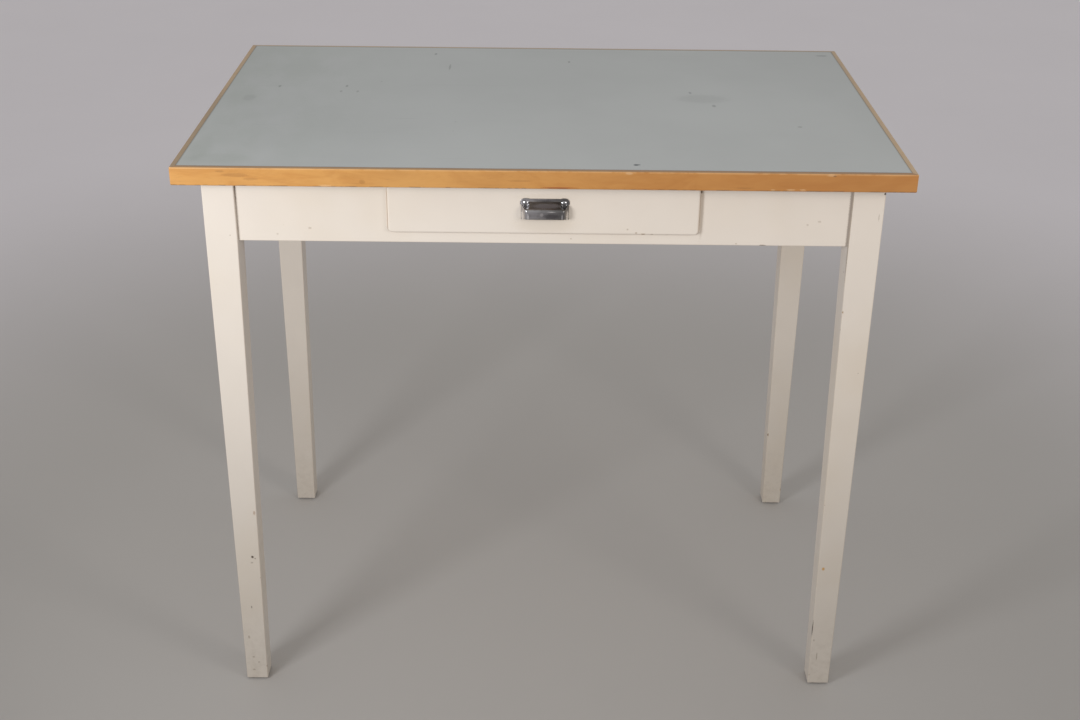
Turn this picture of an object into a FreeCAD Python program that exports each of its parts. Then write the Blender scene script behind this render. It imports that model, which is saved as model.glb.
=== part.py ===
"""Kitchen table with one drawer.

A laminated top in a hardwood lipping stands on a painted frame of four tapered legs and
four aprons. The front apron has a notch, open to the underside of the top, for a drawer
with a pressed cup pull. Every physical piece is a solid of its own.

Frame: +X to the right, +Y to the back, +Z up. The origin is on the floor under the middle
of the top. All sizes are in millimetres.
"""

import FreeCAD, Part
import math
import os

Vector = FreeCAD.Vector

# ---------------------------------------------------------------- driving dimensions
# Tabletop
TABLE_HEIGHT = 785.0
TOP_WIDTH = 900.0
TOP_DEPTH = 580.0
CORE_THICKNESS = 22.0
LAMINATE_THICKNESS = 1.0
LIPPING_WIDTH = 7.0
TOP_CORNER_RADIUS = 2.0
TOP_ARRIS_RADIUS = 1.5

# Legs and their glides
LEG_OVERHANG_SIDE = 30.0
LEG_OVERHANG_END = 28.0
LEG_WIDTH = 40.0
FOOT_WIDTH = 30.0
LEG_ARRIS_RADIUS = 1.5
GLIDE_HEIGHT = 3.0
GLIDE_DIAMETER = 22.0
GLIDE_EDGE_RADIUS = 1.2
GLIDE_PIN_DIAMETER = 2.8
GLIDE_PIN_LENGTH = 15.0

# Aprons and their mitred tenons
APRON_HEIGHT = 83.0
APRON_THICKNESS = 20.0
APRON_SETBACK = 4.0
APRON_ARRIS_RADIUS = 1.0
TENON_THICKNESS = 8.0
TENON_SHOULDER = 12.0
TENON_END_GAP = 1.0

# Corner blocks and the buttons that hold the top down
BLOCK_LEG = 60.0
BLOCK_HEIGHT = 55.0
BLOCK_SCREW_OFFSET = 34.0
BLOCK_SCREW_GRIP = 14.0
BLOCK_SCREW_LEVEL_GAP = 24.0
BUTTON_LENGTH = 34.0
BUTTON_WIDTH = 36.0
BUTTON_THICKNESS = 20.0
BUTTON_TONGUE_LENGTH = 8.0
BUTTON_TONGUE_THICKNESS = 9.0
BUTTON_TO_BLOCK = 60.0
BUTTON_SCREW_DEPTH_IN_CORE = 14.0

# Drawer opening in the front apron
OPENING_WIDTH = 385.8
OPENING_CENTRE_X = 0.0
OPENING_RAIL_HEIGHT = 13.6
OPENING_CORNER_RADIUS = 6.0

# Runners, guides and stops that carry the drawer
RUNNER_LEDGE = 20.0
RUNNER_THICKNESS = 12.0
GUIDE_WIDTH = 16.0
GUIDE_HEIGHT = 40.0
GUIDE_TENON_LENGTH = 6.0
GUIDE_TENON_THICKNESS = 8.0
GUIDE_TENON_SHOULDER = 6.0
STOP_LENGTH = 12.0
STOP_WIDTH = 14.0
STOP_HEIGHT = 14.0
RUNNER_SCREW_END_DISTANCE = 60.0
RUNNER_SCREW_DEPTH_IN_GUIDE = 16.0

# Drawer
DRAWER_GAP_LEFT = 0.4
DRAWER_GAP_RIGHT = 0.4
DRAWER_GAP_BOTTOM = 1.2
DRAWER_GAP_TOP = 2.0
DRAWER_PROUD = 5.5
DRAWER_FRONT_THICKNESS = 18.0
DRAWER_FRONT_ARRIS_RADIUS = 2.5
DRAWER_SIDE_THICKNESS = 12.0
DRAWER_SIDE_TOP_DROP = 10.0
DRAWER_BACK_THICKNESS = 12.0
DRAWER_BACK_TOP_DROP = 15.0
DRAWER_BACK_SPACE = 43.0
DRAWER_BOTTOM_THICKNESS = 4.0
DRAWER_BOTTOM_RISE = 8.0
GROOVE_DEPTH = 5.0
DOVETAIL_LAP = 5.0
DOVETAIL_COUNT = 3
DOVETAIL_SLOPE = 0.16
DOVETAIL_PIN_WIDTH = 6.0
FINGER_COUNT = 5

# Cup pull, measured from the line through its two screws
PULL_CENTRE_X = 1.7
PULL_RISE = 7.4
PULL_SCREW_SPACING = 47.2
PULL_SHEET = 1.0
EAR_RADIUS = 6.8
SCOOP_RADIUS = 4.5
FLANGE_ABOVE = 5.4
HOOD_SIDE_REACH = 5.9
HOOD_FLARE = 5.1
HOOD_DEPTH = 12.0
HOOD_BEND_ABOVE = 3.2
HOOD_CREASE_BELOW = 2.8
HOOD_SHOULDER_BELOW = 2.0
HOOD_FRONT_RIM_BELOW = 17.3
HOOD_BACK_RIM_BELOW = 21.2
HOOD_CORNER_RADIUS = 3.0
HOOD_CREASE_RADIUS = 2.0

# Screws and nails
BLOCK_SCREW_HEAD = 7.6
BLOCK_SCREW_SHANK = 3.8
BLOCK_SCREW_LENGTH = 28.0
BUTTON_SCREW_HEAD = 7.6
BUTTON_SCREW_SHANK = 3.8
RUNNER_SCREW_HEAD = 6.6
RUNNER_SCREW_SHANK = 3.2
SLOT_WIDTH = 0.9
SLOT_DEPTH = 1.2
PULL_SCREW_HEAD = 6.4
PULL_SCREW_SHANK = 3.2
PULL_SCREW_LENGTH = 15.0
DOME_HEIGHT = 0.9
CROSS_WIDTH = 3.8
CROSS_ARM_WIDTH = 0.9
CROSS_DEPTH = 1.3
NAIL_HEAD = 3.2
NAIL_HEAD_HEIGHT = 0.8
NAIL_SHANK = 1.6
NAIL_LENGTH = 20.0
NAIL_COUNT = 5
NAIL_EDGE_DISTANCE = 30.0

# Clearances
RUNNING_CLEARANCE = 0.3
FASTENER_CLEARANCE = 0.05
PANEL_CLEARANCE = 0.3

# ---------------------------------------------------------------- derived places
TOP_THICKNESS = CORE_THICKNESS + LAMINATE_THICKNESS
UNDERSIDE_Z = TABLE_HEIGHT - TOP_THICKNESS
APRON_BOTTOM_Z = UNDERSIDE_Z - APRON_HEIGHT
FRAME_HALF_WIDTH = TOP_WIDTH / 2 - LEG_OVERHANG_SIDE
FRAME_HALF_DEPTH = TOP_DEPTH / 2 - LEG_OVERHANG_END
APRON_INNER_X = FRAME_HALF_WIDTH - APRON_SETBACK - APRON_THICKNESS
APRON_INNER_Y = FRAME_HALF_DEPTH - APRON_SETBACK - APRON_THICKNESS
APRON_FACE_Y = APRON_INNER_Y + APRON_THICKNESS
APRON_END_X = FRAME_HALF_WIDTH - LEG_WIDTH
APRON_END_Y = FRAME_HALF_DEPTH - LEG_WIDTH
TENON_INSET = APRON_SETBACK + (APRON_THICKNESS - TENON_THICKNESS) / 2
TENON_LOW_Z = APRON_BOTTOM_Z + TENON_SHOULDER
TENON_HIGH_Z = UNDERSIDE_Z - TENON_SHOULDER

OPENING_LEFT_X = OPENING_CENTRE_X - OPENING_WIDTH / 2
OPENING_RIGHT_X = OPENING_CENTRE_X + OPENING_WIDTH / 2
OPENING_RAIL_Z = APRON_BOTTOM_Z + OPENING_RAIL_HEIGHT

DRAWER_LEFT_X = OPENING_LEFT_X + DRAWER_GAP_LEFT
DRAWER_RIGHT_X = OPENING_RIGHT_X - DRAWER_GAP_RIGHT
DRAWER_LOW_Z = OPENING_RAIL_Z + DRAWER_GAP_BOTTOM
DRAWER_HIGH_Z = UNDERSIDE_Z - DRAWER_GAP_TOP
DRAWER_FACE_Y = -APRON_FACE_Y - DRAWER_PROUD
DRAWER_FRONT_BACK_Y = DRAWER_FACE_Y + DRAWER_FRONT_THICKNESS
DRAWER_REAR_Y = APRON_INNER_Y - DRAWER_BACK_SPACE
DRAWER_SIDE_HIGH_Z = DRAWER_HIGH_Z - DRAWER_SIDE_TOP_DROP
DRAWER_BACK_HIGH_Z = DRAWER_HIGH_Z - DRAWER_BACK_TOP_DROP
DRAWER_INNER_LEFT_X = DRAWER_LEFT_X + DRAWER_SIDE_THICKNESS
DRAWER_INNER_RIGHT_X = DRAWER_RIGHT_X - DRAWER_SIDE_THICKNESS
DRAWER_BOTTOM_LOW_Z = DRAWER_LOW_Z + DRAWER_BOTTOM_RISE
DRAWER_BOTTOM_HIGH_Z = DRAWER_BOTTOM_LOW_Z + DRAWER_BOTTOM_THICKNESS

RUNNER_TOP_Z = DRAWER_LOW_Z - RUNNING_CLEARANCE
RUNNER_LOW_Z = RUNNER_TOP_Z - RUNNER_THICKNESS
GUIDE_HIGH_Z = RUNNER_TOP_Z + GUIDE_HEIGHT

PULL_Z = (DRAWER_LOW_Z + DRAWER_HIGH_Z) / 2 + PULL_RISE
HOOD_BACK_HALF_WIDTH = PULL_SCREW_SPACING / 2 + HOOD_SIDE_REACH
HOOD_FRONT_HALF_WIDTH = HOOD_BACK_HALF_WIDTH - HOOD_FLARE


# ---------------------------------------------------------------- shape helpers
def slab(x_low, x_high, y_low, y_high, z_low, z_high):
    """Box between two opposite corners."""
    corner = Vector(x_low, y_low, z_low)
    return Part.makeBox(x_high - x_low, y_high - y_low, z_high - z_low, corner)


def mirror_x(shape):
    """Copy of a shape on the other side of the plane X = 0."""
    return shape.mirror(Vector(0, 0, 0), Vector(1, 0, 0))


def mirror_y(shape):
    """Copy of a shape on the other side of the plane Y = 0."""
    return shape.mirror(Vector(0, 0, 0), Vector(0, 1, 0))


def corner_arc(before, point, after, radius):
    """Start, middle and end of the tangent arc that rounds a corner between two neighbours."""
    to_before = (before - point).normalize()
    to_after = (after - point).normalize()
    half_angle = to_before.getAngle(to_after) / 2
    reach = radius / math.tan(half_angle)
    bisector = (to_before + to_after).normalize()
    middle = point + bisector * (radius / math.sin(half_angle) - radius)
    return point + to_before * reach, middle, point + to_after * reach


def rounded_wire(corners):
    """Closed wire through (point, radius) corners, with a tangent arc at each radius."""
    points = [point for point, radius in corners]
    followers = points[1:] + points[:1]
    arcs = [corner_arc(points[index - 1], point, followers[index], radius)
            for index, (point, radius) in enumerate(corners)]
    edges = []
    for index, (start, middle, end) in enumerate(arcs):
        previous_end = arcs[index - 1][2]
        edges.append(Part.makeLine(previous_end, start))
        if corners[index][1] > 0:
            edges.append(Part.Arc(start, middle, end).toShape())
    return Part.Wire(edges)


def extrude_outline(corners, travel):
    """Solid made by moving a rounded outline along a vector."""
    return Part.Face(rounded_wire(corners)).extrude(travel)


def square_section(x_low, x_high, y_low, y_high, z, radius):
    """Level square wire with rounded corners."""
    places = [(x_low, y_low), (x_high, y_low), (x_high, y_high), (x_low, y_high)]
    return rounded_wire([(Vector(x, y, z), radius) for x, y in places])


def prism(points, travel):
    """Solid made by moving a sharp outline along a vector."""
    closed = points + [points[0]]
    return Part.Face(Part.makePolygon(closed)).extrude(travel)


def soften(shape, radius, keep):
    """Fillet the edges that the test keeps."""
    edges = [edge for edge in shape.Edges if keep(edge)]
    return shape.makeFillet(radius, edges)


def on_plane_x(edge, x):
    """True for an edge that lies in the plane at this X."""
    return all(abs(vertex.X - x) < 1e-6 for vertex in edge.Vertexes)


def on_plane_y(edge, y):
    """True for an edge that lies in the plane at this Y."""
    return all(abs(vertex.Y - y) < 1e-6 for vertex in edge.Vertexes)


def on_plane_z(edge, z):
    """True for an edge that lies in the plane at this Z."""
    return all(abs(vertex.Z - z) < 1e-6 for vertex in edge.Vertexes)


def upright(edge):
    """True for a straight edge parallel to Z."""
    first = edge.Vertexes[0]
    last = edge.Vertexes[-1]
    return abs(first.X - last.X) + abs(first.Y - last.Y) < 1e-6 and edge.Length > 1e-6


def revolved(profile):
    """Solid of revolution about Z from (radius, height) points that start and end at radius 0."""
    points = [Vector(radius, 0, height) for radius, height in profile]
    face = Part.Face(Part.makePolygon(points + [points[0]]))
    return face.revolve(Vector(0, 0, 0), Vector(0, 0, 1), 360)


def aimed(shape, head_place, direction):
    """Move a fastener drawn with its head at the origin and its tip at -Z."""
    turn = FreeCAD.Rotation(Vector(0, 0, -1), direction)
    placed = shape.copy()
    placed.Placement = FreeCAD.Placement(head_place, turn)
    return placed


def screw_profile(head, shank, length, clearance):
    """Half outline of a countersunk screw, grown by a clearance."""
    head_radius = head / 2 + clearance
    shank_radius = shank / 2 + clearance
    head_height = (head - shank) / 2
    tip_height = shank
    return [
        (0, 0),
        (head_radius, 0),
        (shank_radius, -head_height - clearance),
        (shank_radius, -length + tip_height - clearance),
        (0, -length - clearance),
    ]


def screw(head, shank, length):
    """Countersunk screw with a straight slot."""
    body = revolved(screw_profile(head, shank, length, 0.0))
    half_slot = SLOT_WIDTH / 2
    return body.cut(slab(-head, head, -half_slot, half_slot, -SLOT_DEPTH, SLOT_DEPTH))


def cross_screw(head, shank, length):
    """Raised countersunk screw with a cross recess."""
    body = revolved(screw_profile(head, shank, length, 0.0))
    dome_radius = (head ** 2 / 4 + DOME_HEIGHT ** 2) / (2 * DOME_HEIGHT)
    ball = Part.makeSphere(dome_radius, Vector(0, 0, DOME_HEIGHT - dome_radius))
    cap = ball.common(Part.makeCylinder(head / 2, DOME_HEIGHT))
    half_arm = CROSS_ARM_WIDTH / 2
    reach = CROSS_WIDTH / 2
    arm_x = slab(-reach, reach, -half_arm, half_arm, -CROSS_DEPTH, DOME_HEIGHT)
    arm_y = slab(-half_arm, half_arm, -reach, reach, -CROSS_DEPTH, DOME_HEIGHT)
    return body.fuse(cap).removeSplitter().cut(arm_x.fuse(arm_y))


def screw_hole(head, shank, length):
    """Space that a countersunk screw fills, with its clearance."""
    return revolved(screw_profile(head, shank, length, FASTENER_CLEARANCE))


def nail_profile(head, shank, length, clearance):
    """Half outline of a flat-headed nail, grown by a clearance."""
    head_radius = head / 2 + clearance
    shank_radius = shank / 2 + clearance
    head_low = -NAIL_HEAD_HEIGHT - clearance
    tip_height = shank
    return [
        (0, 0),
        (head_radius, 0),
        (head_radius, head_low),
        (shank_radius, head_low),
        (shank_radius, -length + tip_height - clearance),
        (0, -length - clearance),
    ]


def nail(head, shank, length):
    """Flat-headed nail with its head's upper face at the origin."""
    return revolved(nail_profile(head, shank, length, 0.0))


def nail_hole(head, shank, length):
    """Space that a nail fills, with its clearance."""
    return revolved(nail_profile(head, shank, length, FASTENER_CLEARANCE))


def group(solids):
    """Compound of separate solids for one node."""
    return Part.makeCompound(solids)


# ---------------------------------------------------------------- tabletop
def top_envelope():
    """Outer form of the whole top, with softened corners and arrises."""
    half_x = TOP_WIDTH / 2
    half_y = TOP_DEPTH / 2
    block = slab(-half_x, half_x, -half_y, half_y, UNDERSIDE_Z, TABLE_HEIGHT)
    block = soften(block, TOP_CORNER_RADIUS, upright)

    def rim(edge):
        return on_plane_z(edge, UNDERSIDE_Z) or on_plane_z(edge, TABLE_HEIGHT)

    return soften(block, TOP_ARRIS_RADIUS, rim)


def top_core():
    """Blockboard core between the four lippings."""
    half_x = TOP_WIDTH / 2 - LIPPING_WIDTH
    half_y = TOP_DEPTH / 2 - LIPPING_WIDTH
    core = slab(-half_x, half_x, -half_y, half_y, UNDERSIDE_Z, UNDERSIDE_Z + CORE_THICKNESS)
    return core.cut([button_screw_hole(place) for place in button_places()])


def top_laminate():
    """Laminate sheet on the core, flush with the lippings."""
    half_x = TOP_WIDTH / 2 - LIPPING_WIDTH
    half_y = TOP_DEPTH / 2 - LIPPING_WIDTH
    return slab(-half_x, half_x, -half_y, half_y, UNDERSIDE_Z + CORE_THICKNESS, TABLE_HEIGHT)


def lipping_front():
    """Mitred lipping along the front edge."""
    half_x = TOP_WIDTH / 2
    half_y = TOP_DEPTH / 2
    inner_x = half_x - LIPPING_WIDTH
    inner_y = half_y - LIPPING_WIDTH
    points = [Vector(-half_x, -half_y, UNDERSIDE_Z), Vector(half_x, -half_y, UNDERSIDE_Z),
              Vector(inner_x, -inner_y, UNDERSIDE_Z), Vector(-inner_x, -inner_y, UNDERSIDE_Z)]
    return top_envelope().common(prism(points, Vector(0, 0, TOP_THICKNESS)))


def lipping_left():
    """Mitred lipping along the left edge."""
    half_x = TOP_WIDTH / 2
    half_y = TOP_DEPTH / 2
    inner_x = half_x - LIPPING_WIDTH
    inner_y = half_y - LIPPING_WIDTH
    points = [Vector(-half_x, -half_y, UNDERSIDE_Z), Vector(-inner_x, -inner_y, UNDERSIDE_Z),
              Vector(-inner_x, inner_y, UNDERSIDE_Z), Vector(-half_x, half_y, UNDERSIDE_Z)]
    return top_envelope().common(prism(points, Vector(0, 0, TOP_THICKNESS)))


# ---------------------------------------------------------------- legs
def front_tenon(end_gap):
    """Tenon of the front apron in the front left leg, with its mitred end held back."""
    outer_x = -FRAME_HALF_WIDTH
    outer_y = -FRAME_HALF_DEPTH
    near_y = outer_y + TENON_INSET
    far_y = near_y + TENON_THICKNESS
    near_x = outer_x + TENON_INSET + end_gap
    far_x = near_x + TENON_THICKNESS
    shoulder_x = -APRON_END_X
    points = [Vector(shoulder_x, near_y, TENON_LOW_Z), Vector(shoulder_x, far_y, TENON_LOW_Z),
              Vector(far_x, far_y, TENON_LOW_Z), Vector(near_x, near_y, TENON_LOW_Z)]
    return prism(points, Vector(0, 0, TENON_HIGH_Z - TENON_LOW_Z))


def left_tenon(end_gap):
    """Tenon of the left apron in the front left leg, with its mitred end held back."""
    outer_x = -FRAME_HALF_WIDTH
    outer_y = -FRAME_HALF_DEPTH
    near_x = outer_x + TENON_INSET
    far_x = near_x + TENON_THICKNESS
    near_y = outer_y + TENON_INSET + end_gap
    far_y = near_y + TENON_THICKNESS
    shoulder_y = -APRON_END_Y
    points = [Vector(near_x, shoulder_y, TENON_LOW_Z), Vector(far_x, shoulder_y, TENON_LOW_Z),
              Vector(far_x, far_y, TENON_LOW_Z), Vector(near_x, near_y, TENON_LOW_Z)]
    return prism(points, Vector(0, 0, TENON_HIGH_Z - TENON_LOW_Z))


def leg_front_left():
    """Square leg, straight beside the aprons and tapered on its two inner faces below them."""
    x = -FRAME_HALF_WIDTH
    y = -FRAME_HALF_DEPTH
    radius = LEG_ARRIS_RADIUS
    foot = square_section(x, x + FOOT_WIDTH, y, y + FOOT_WIDTH, GLIDE_HEIGHT, radius)
    knee = square_section(x, x + LEG_WIDTH, y, y + LEG_WIDTH, APRON_BOTTOM_Z, radius)
    tapered = Part.makeLoft([foot, knee], True, True)
    straight = Part.Face(knee).extrude(Vector(0, 0, APRON_HEIGHT))
    leg = tapered.fuse(straight).removeSplitter()
    leg = leg.cut(front_tenon(0.0)).cut(left_tenon(0.0))
    return leg.cut(glide_pin(x + FOOT_WIDTH / 2, y + FOOT_WIDTH / 2, FASTENER_CLEARANCE))


def glide_pin(x, y, clearance):
    """Pin of a nail-on glide, or with a clearance the hole that it is driven into."""
    radius = GLIDE_PIN_DIAMETER / 2 + clearance
    height = GLIDE_PIN_LENGTH + clearance
    return Part.makeCylinder(radius, height, Vector(x, y, GLIDE_HEIGHT))


def foot_glide_front_left():
    """Nail-on glide under the front left leg."""
    x = -FRAME_HALF_WIDTH + FOOT_WIDTH / 2
    y = -FRAME_HALF_DEPTH + FOOT_WIDTH / 2
    disc = Part.makeCylinder(GLIDE_DIAMETER / 2, GLIDE_HEIGHT, Vector(x, y, 0))
    disc = soften(disc, GLIDE_EDGE_RADIUS, lambda edge: on_plane_z(edge, 0))
    return disc.fuse(glide_pin(x, y, 0.0)).removeSplitter()


# ---------------------------------------------------------------- aprons
def apron_front():
    """Front apron in one piece, notched from above for the drawer."""
    board = slab(-APRON_END_X, APRON_END_X, -APRON_FACE_Y, -APRON_INNER_Y,
                 APRON_BOTTOM_Z, UNDERSIDE_Z)
    face_y = -APRON_FACE_Y
    above_z = UNDERSIDE_Z + OPENING_CORNER_RADIUS
    notch_corners = [
        (Vector(OPENING_LEFT_X, face_y, OPENING_RAIL_Z), OPENING_CORNER_RADIUS),
        (Vector(OPENING_RIGHT_X, face_y, OPENING_RAIL_Z), OPENING_CORNER_RADIUS),
        (Vector(OPENING_RIGHT_X, face_y, above_z), 0),
        (Vector(OPENING_LEFT_X, face_y, above_z), 0),
    ]
    board = board.cut(extrude_outline(notch_corners, Vector(0, APRON_THICKNESS, 0)))

    def visible_arris(edge):
        at_end = upright(edge) and abs(edge.Vertexes[0].X) > APRON_END_X - 1e-6
        return on_plane_y(edge, face_y) and not on_plane_z(edge, UNDERSIDE_Z) and not at_end

    board = soften(board, APRON_ARRIS_RADIUS, visible_arris)
    tenon = front_tenon(TENON_END_GAP)
    board = board.fuse([tenon, mirror_x(tenon)]).removeSplitter()
    mortises = [button_mortise(place) for place in front_button_places()]
    mortises += [guide_tenon_left(-1), guide_tenon_right(-1)]
    return board.cut(mortises + block_screw_holes_in_front())


def apron_back():
    """Back apron in one piece."""
    board = slab(-APRON_END_X, APRON_END_X, APRON_INNER_Y, APRON_FACE_Y,
                 APRON_BOTTOM_Z, UNDERSIDE_Z)

    def low_arris(edge):
        return on_plane_z(edge, APRON_BOTTOM_Z) and on_plane_y(edge, APRON_FACE_Y)

    board = soften(board, APRON_ARRIS_RADIUS, low_arris)
    tenon = mirror_y(front_tenon(TENON_END_GAP))
    board = board.fuse([tenon, mirror_x(tenon)]).removeSplitter()
    mortises = [button_mortise(place) for place in back_button_places()]
    mortises += [guide_tenon_left(1), guide_tenon_right(1)]
    return board.cut(mortises + [mirror_y(hole) for hole in block_screw_holes_in_front()])


def apron_left():
    """Left apron in one piece."""
    face_x = -APRON_INNER_X - APRON_THICKNESS
    board = slab(face_x, -APRON_INNER_X, -APRON_END_Y, APRON_END_Y,
                 APRON_BOTTOM_Z, UNDERSIDE_Z)

    def low_arris(edge):
        return on_plane_z(edge, APRON_BOTTOM_Z) and on_plane_x(edge, face_x)

    board = soften(board, APRON_ARRIS_RADIUS, low_arris)
    tenon = left_tenon(TENON_END_GAP)
    board = board.fuse([tenon, mirror_y(tenon)]).removeSplitter()
    mortises = [button_mortise(place) for place in left_button_places()]
    return board.cut(mortises + block_screw_holes_in_left())


# ---------------------------------------------------------------- corner blocks
def block_screw_z(side):
    """Height of a block's screw: the one into the front apron is above the other."""
    middle = UNDERSIDE_Z - BLOCK_HEIGHT / 2
    return middle + side * BLOCK_SCREW_LEVEL_GAP / 2


def block_screw_head_front():
    """Head of the front left block's screw into the front apron."""
    x = -APRON_INNER_X + BLOCK_SCREW_OFFSET
    return Vector(x, -APRON_INNER_Y + BLOCK_SCREW_GRIP, block_screw_z(1))


def block_screw_head_left():
    """Head of the front left block's screw into the left apron."""
    y = -APRON_INNER_Y + BLOCK_SCREW_OFFSET
    return Vector(-APRON_INNER_X + BLOCK_SCREW_GRIP, y, block_screw_z(-1))


def block_screws_front_left(maker):
    """Both screws of the front left block, or the space that they fill."""
    one = maker(BLOCK_SCREW_HEAD, BLOCK_SCREW_SHANK, BLOCK_SCREW_LENGTH)
    return [aimed(one, block_screw_head_front(), Vector(0, -1, 0)),
            aimed(one, block_screw_head_left(), Vector(-1, 0, 0))]


def block_screw_holes_in_front():
    """Holes for the corner blocks' screws in the front apron."""
    hole = block_screws_front_left(screw_hole)[0]
    return [hole, mirror_x(hole)]


def block_screw_holes_in_left():
    """Holes for the corner blocks' screws in the left apron."""
    hole = block_screws_front_left(screw_hole)[1]
    return [hole, mirror_y(hole)]


def corner_block_front_left():
    """Block notched round the front left leg, glued and screwed to both aprons."""
    x = -APRON_INNER_X
    y = -APRON_INNER_Y
    low_z = UNDERSIDE_Z - BLOCK_HEIGHT
    points = [Vector(-APRON_END_X, y, low_z), Vector(x + BLOCK_LEG, y, low_z),
              Vector(x, y + BLOCK_LEG, low_z), Vector(x, -APRON_END_Y, low_z),
              Vector(-APRON_END_X, -APRON_END_Y, low_z)]
    block = prism(points, Vector(0, 0, BLOCK_HEIGHT))
    access_radius = BLOCK_SCREW_HEAD / 2 + FASTENER_CLEARANCE
    front_access = Part.makeCylinder(access_radius, BLOCK_LEG, block_screw_head_front(),
                                     Vector(0, 1, 0))
    left_access = Part.makeCylinder(access_radius, BLOCK_LEG, block_screw_head_left(),
                                    Vector(1, 0, 0))
    return block.cut(block_screws_front_left(screw_hole) + [front_access, left_access])


# ---------------------------------------------------------------- top buttons
def button_reach():
    """Distance from the middle of a side apron to each of its buttons."""
    return APRON_INNER_Y - BLOCK_LEG - BUTTON_TO_BLOCK


def front_button_places():
    """Buttons of the front apron, each midway between a drawer guide and a corner block."""
    block_x = APRON_INNER_X - BLOCK_LEG
    right_x = (OPENING_RIGHT_X + GUIDE_WIDTH + block_x) / 2
    left_x = (OPENING_LEFT_X - GUIDE_WIDTH - block_x) / 2
    turn = Vector(0, 1, 0)
    return [(Vector(left_x, -APRON_INNER_Y, UNDERSIDE_Z), turn),
            (Vector(right_x, -APRON_INNER_Y, UNDERSIDE_Z), turn)]


def back_button_places():
    """Buttons of the back apron."""
    x = APRON_INNER_X - BLOCK_LEG - BUTTON_TO_BLOCK
    turn = Vector(0, -1, 0)
    return [(Vector(-x, APRON_INNER_Y, UNDERSIDE_Z), turn),
            (Vector(x, APRON_INNER_Y, UNDERSIDE_Z), turn)]


def left_button_places():
    """Buttons of the left apron."""
    y = button_reach()
    turn = Vector(1, 0, 0)
    return [(Vector(-APRON_INNER_X, -y, UNDERSIDE_Z), turn),
            (Vector(-APRON_INNER_X, y, UNDERSIDE_Z), turn)]


def right_button_places():
    """Buttons of the right apron."""
    y = button_reach()
    turn = Vector(-1, 0, 0)
    return [(Vector(APRON_INNER_X, -y, UNDERSIDE_Z), turn),
            (Vector(APRON_INNER_X, y, UNDERSIDE_Z), turn)]


def button_places():
    """All buttons, as a point on the apron's inner face and the way into the table."""
    return (front_button_places() + back_button_places()
            + left_button_places() + right_button_places())


def button_frame(shape, place):
    """Move a shape drawn along +Y from the origin to a button's place."""
    point, inward = place
    turned = shape.copy()
    turned.Placement = FreeCAD.Placement(point, FreeCAD.Rotation(Vector(0, 1, 0), inward))
    return turned


def button_tongue_box():
    """Tongue of a button, drawn at the origin with the apron at -Y."""
    half = BUTTON_WIDTH / 2
    low_z = -BUTTON_THICKNESS
    return slab(-half, half, -BUTTON_TONGUE_LENGTH, 0, low_z, low_z + BUTTON_TONGUE_THICKNESS)


def button_mortise(place):
    """Mortise in an apron for a button's tongue."""
    return button_frame(button_tongue_box(), place)


def button_screw_place(place):
    """Head of a button's screw, on the button's lower face."""
    point, inward = place
    return point + inward * (BUTTON_LENGTH / 2) - Vector(0, 0, BUTTON_THICKNESS)


def button_screw_length():
    """Length of a button's screw, from its head to its tip in the core."""
    return BUTTON_THICKNESS + BUTTON_SCREW_DEPTH_IN_CORE


def button_screw_hole(place):
    """Space that one button's screw fills."""
    hole = screw_hole(BUTTON_SCREW_HEAD, BUTTON_SCREW_SHANK, button_screw_length())
    return aimed(hole, button_screw_place(place), Vector(0, 0, 1))


def top_button(place):
    """Wooden button: a body under the top with a tongue in its apron."""
    half = BUTTON_WIDTH / 2
    body = slab(-half, half, 0, BUTTON_LENGTH, -BUTTON_THICKNESS, 0)
    button = body.fuse(button_tongue_box()).removeSplitter()
    return button_frame(button, place).cut(button_screw_hole(place))


def top_button_screw(place):
    """Screw that pulls the top onto one button."""
    one = screw(BUTTON_SCREW_HEAD, BUTTON_SCREW_SHANK, button_screw_length())
    return aimed(one, button_screw_place(place), Vector(0, 0, 1))


# ---------------------------------------------------------------- runners, guides and stops
def guide_tenon(x_low, end):
    """Stub tenon of a guide in the front apron (end -1) or in the back apron (end 1)."""
    cheek = (GUIDE_WIDTH - GUIDE_TENON_THICKNESS) / 2
    start = end * APRON_INNER_Y
    finish = end * (APRON_INNER_Y + GUIDE_TENON_LENGTH)
    return slab(x_low + cheek, x_low + cheek + GUIDE_TENON_THICKNESS,
                min(start, finish), max(start, finish),
                RUNNER_TOP_Z + GUIDE_TENON_SHOULDER, GUIDE_HIGH_Z - GUIDE_TENON_SHOULDER)


def guide_tenon_left(end):
    """Stub tenon of the left guide."""
    return guide_tenon(OPENING_LEFT_X - GUIDE_WIDTH, end)


def guide_tenon_right(end):
    """Stub tenon of the right guide."""
    return guide_tenon(OPENING_RIGHT_X, end)


def runner_screws(x_middle, maker):
    """Screws from below through a runner into its guide, or the space that they fill."""
    length = RUNNER_THICKNESS + RUNNER_SCREW_DEPTH_IN_GUIDE
    one = maker(RUNNER_SCREW_HEAD, RUNNER_SCREW_SHANK, length)
    reach = APRON_INNER_Y - RUNNER_SCREW_END_DISTANCE
    return [aimed(one, Vector(x_middle, y, RUNNER_LOW_Z), Vector(0, 0, 1))
            for y in (-reach, 0, reach)]


def guide(x_low):
    """Upright strip beside the drawer, tenoned into the front and back aprons."""
    strip = slab(x_low, x_low + GUIDE_WIDTH, -APRON_INNER_Y, APRON_INNER_Y,
                 RUNNER_TOP_Z, GUIDE_HIGH_Z)
    strip = strip.fuse([guide_tenon(x_low, -1), guide_tenon(x_low, 1)]).removeSplitter()
    return strip.cut(runner_screws(x_low + GUIDE_WIDTH / 2, screw_hole))


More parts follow.
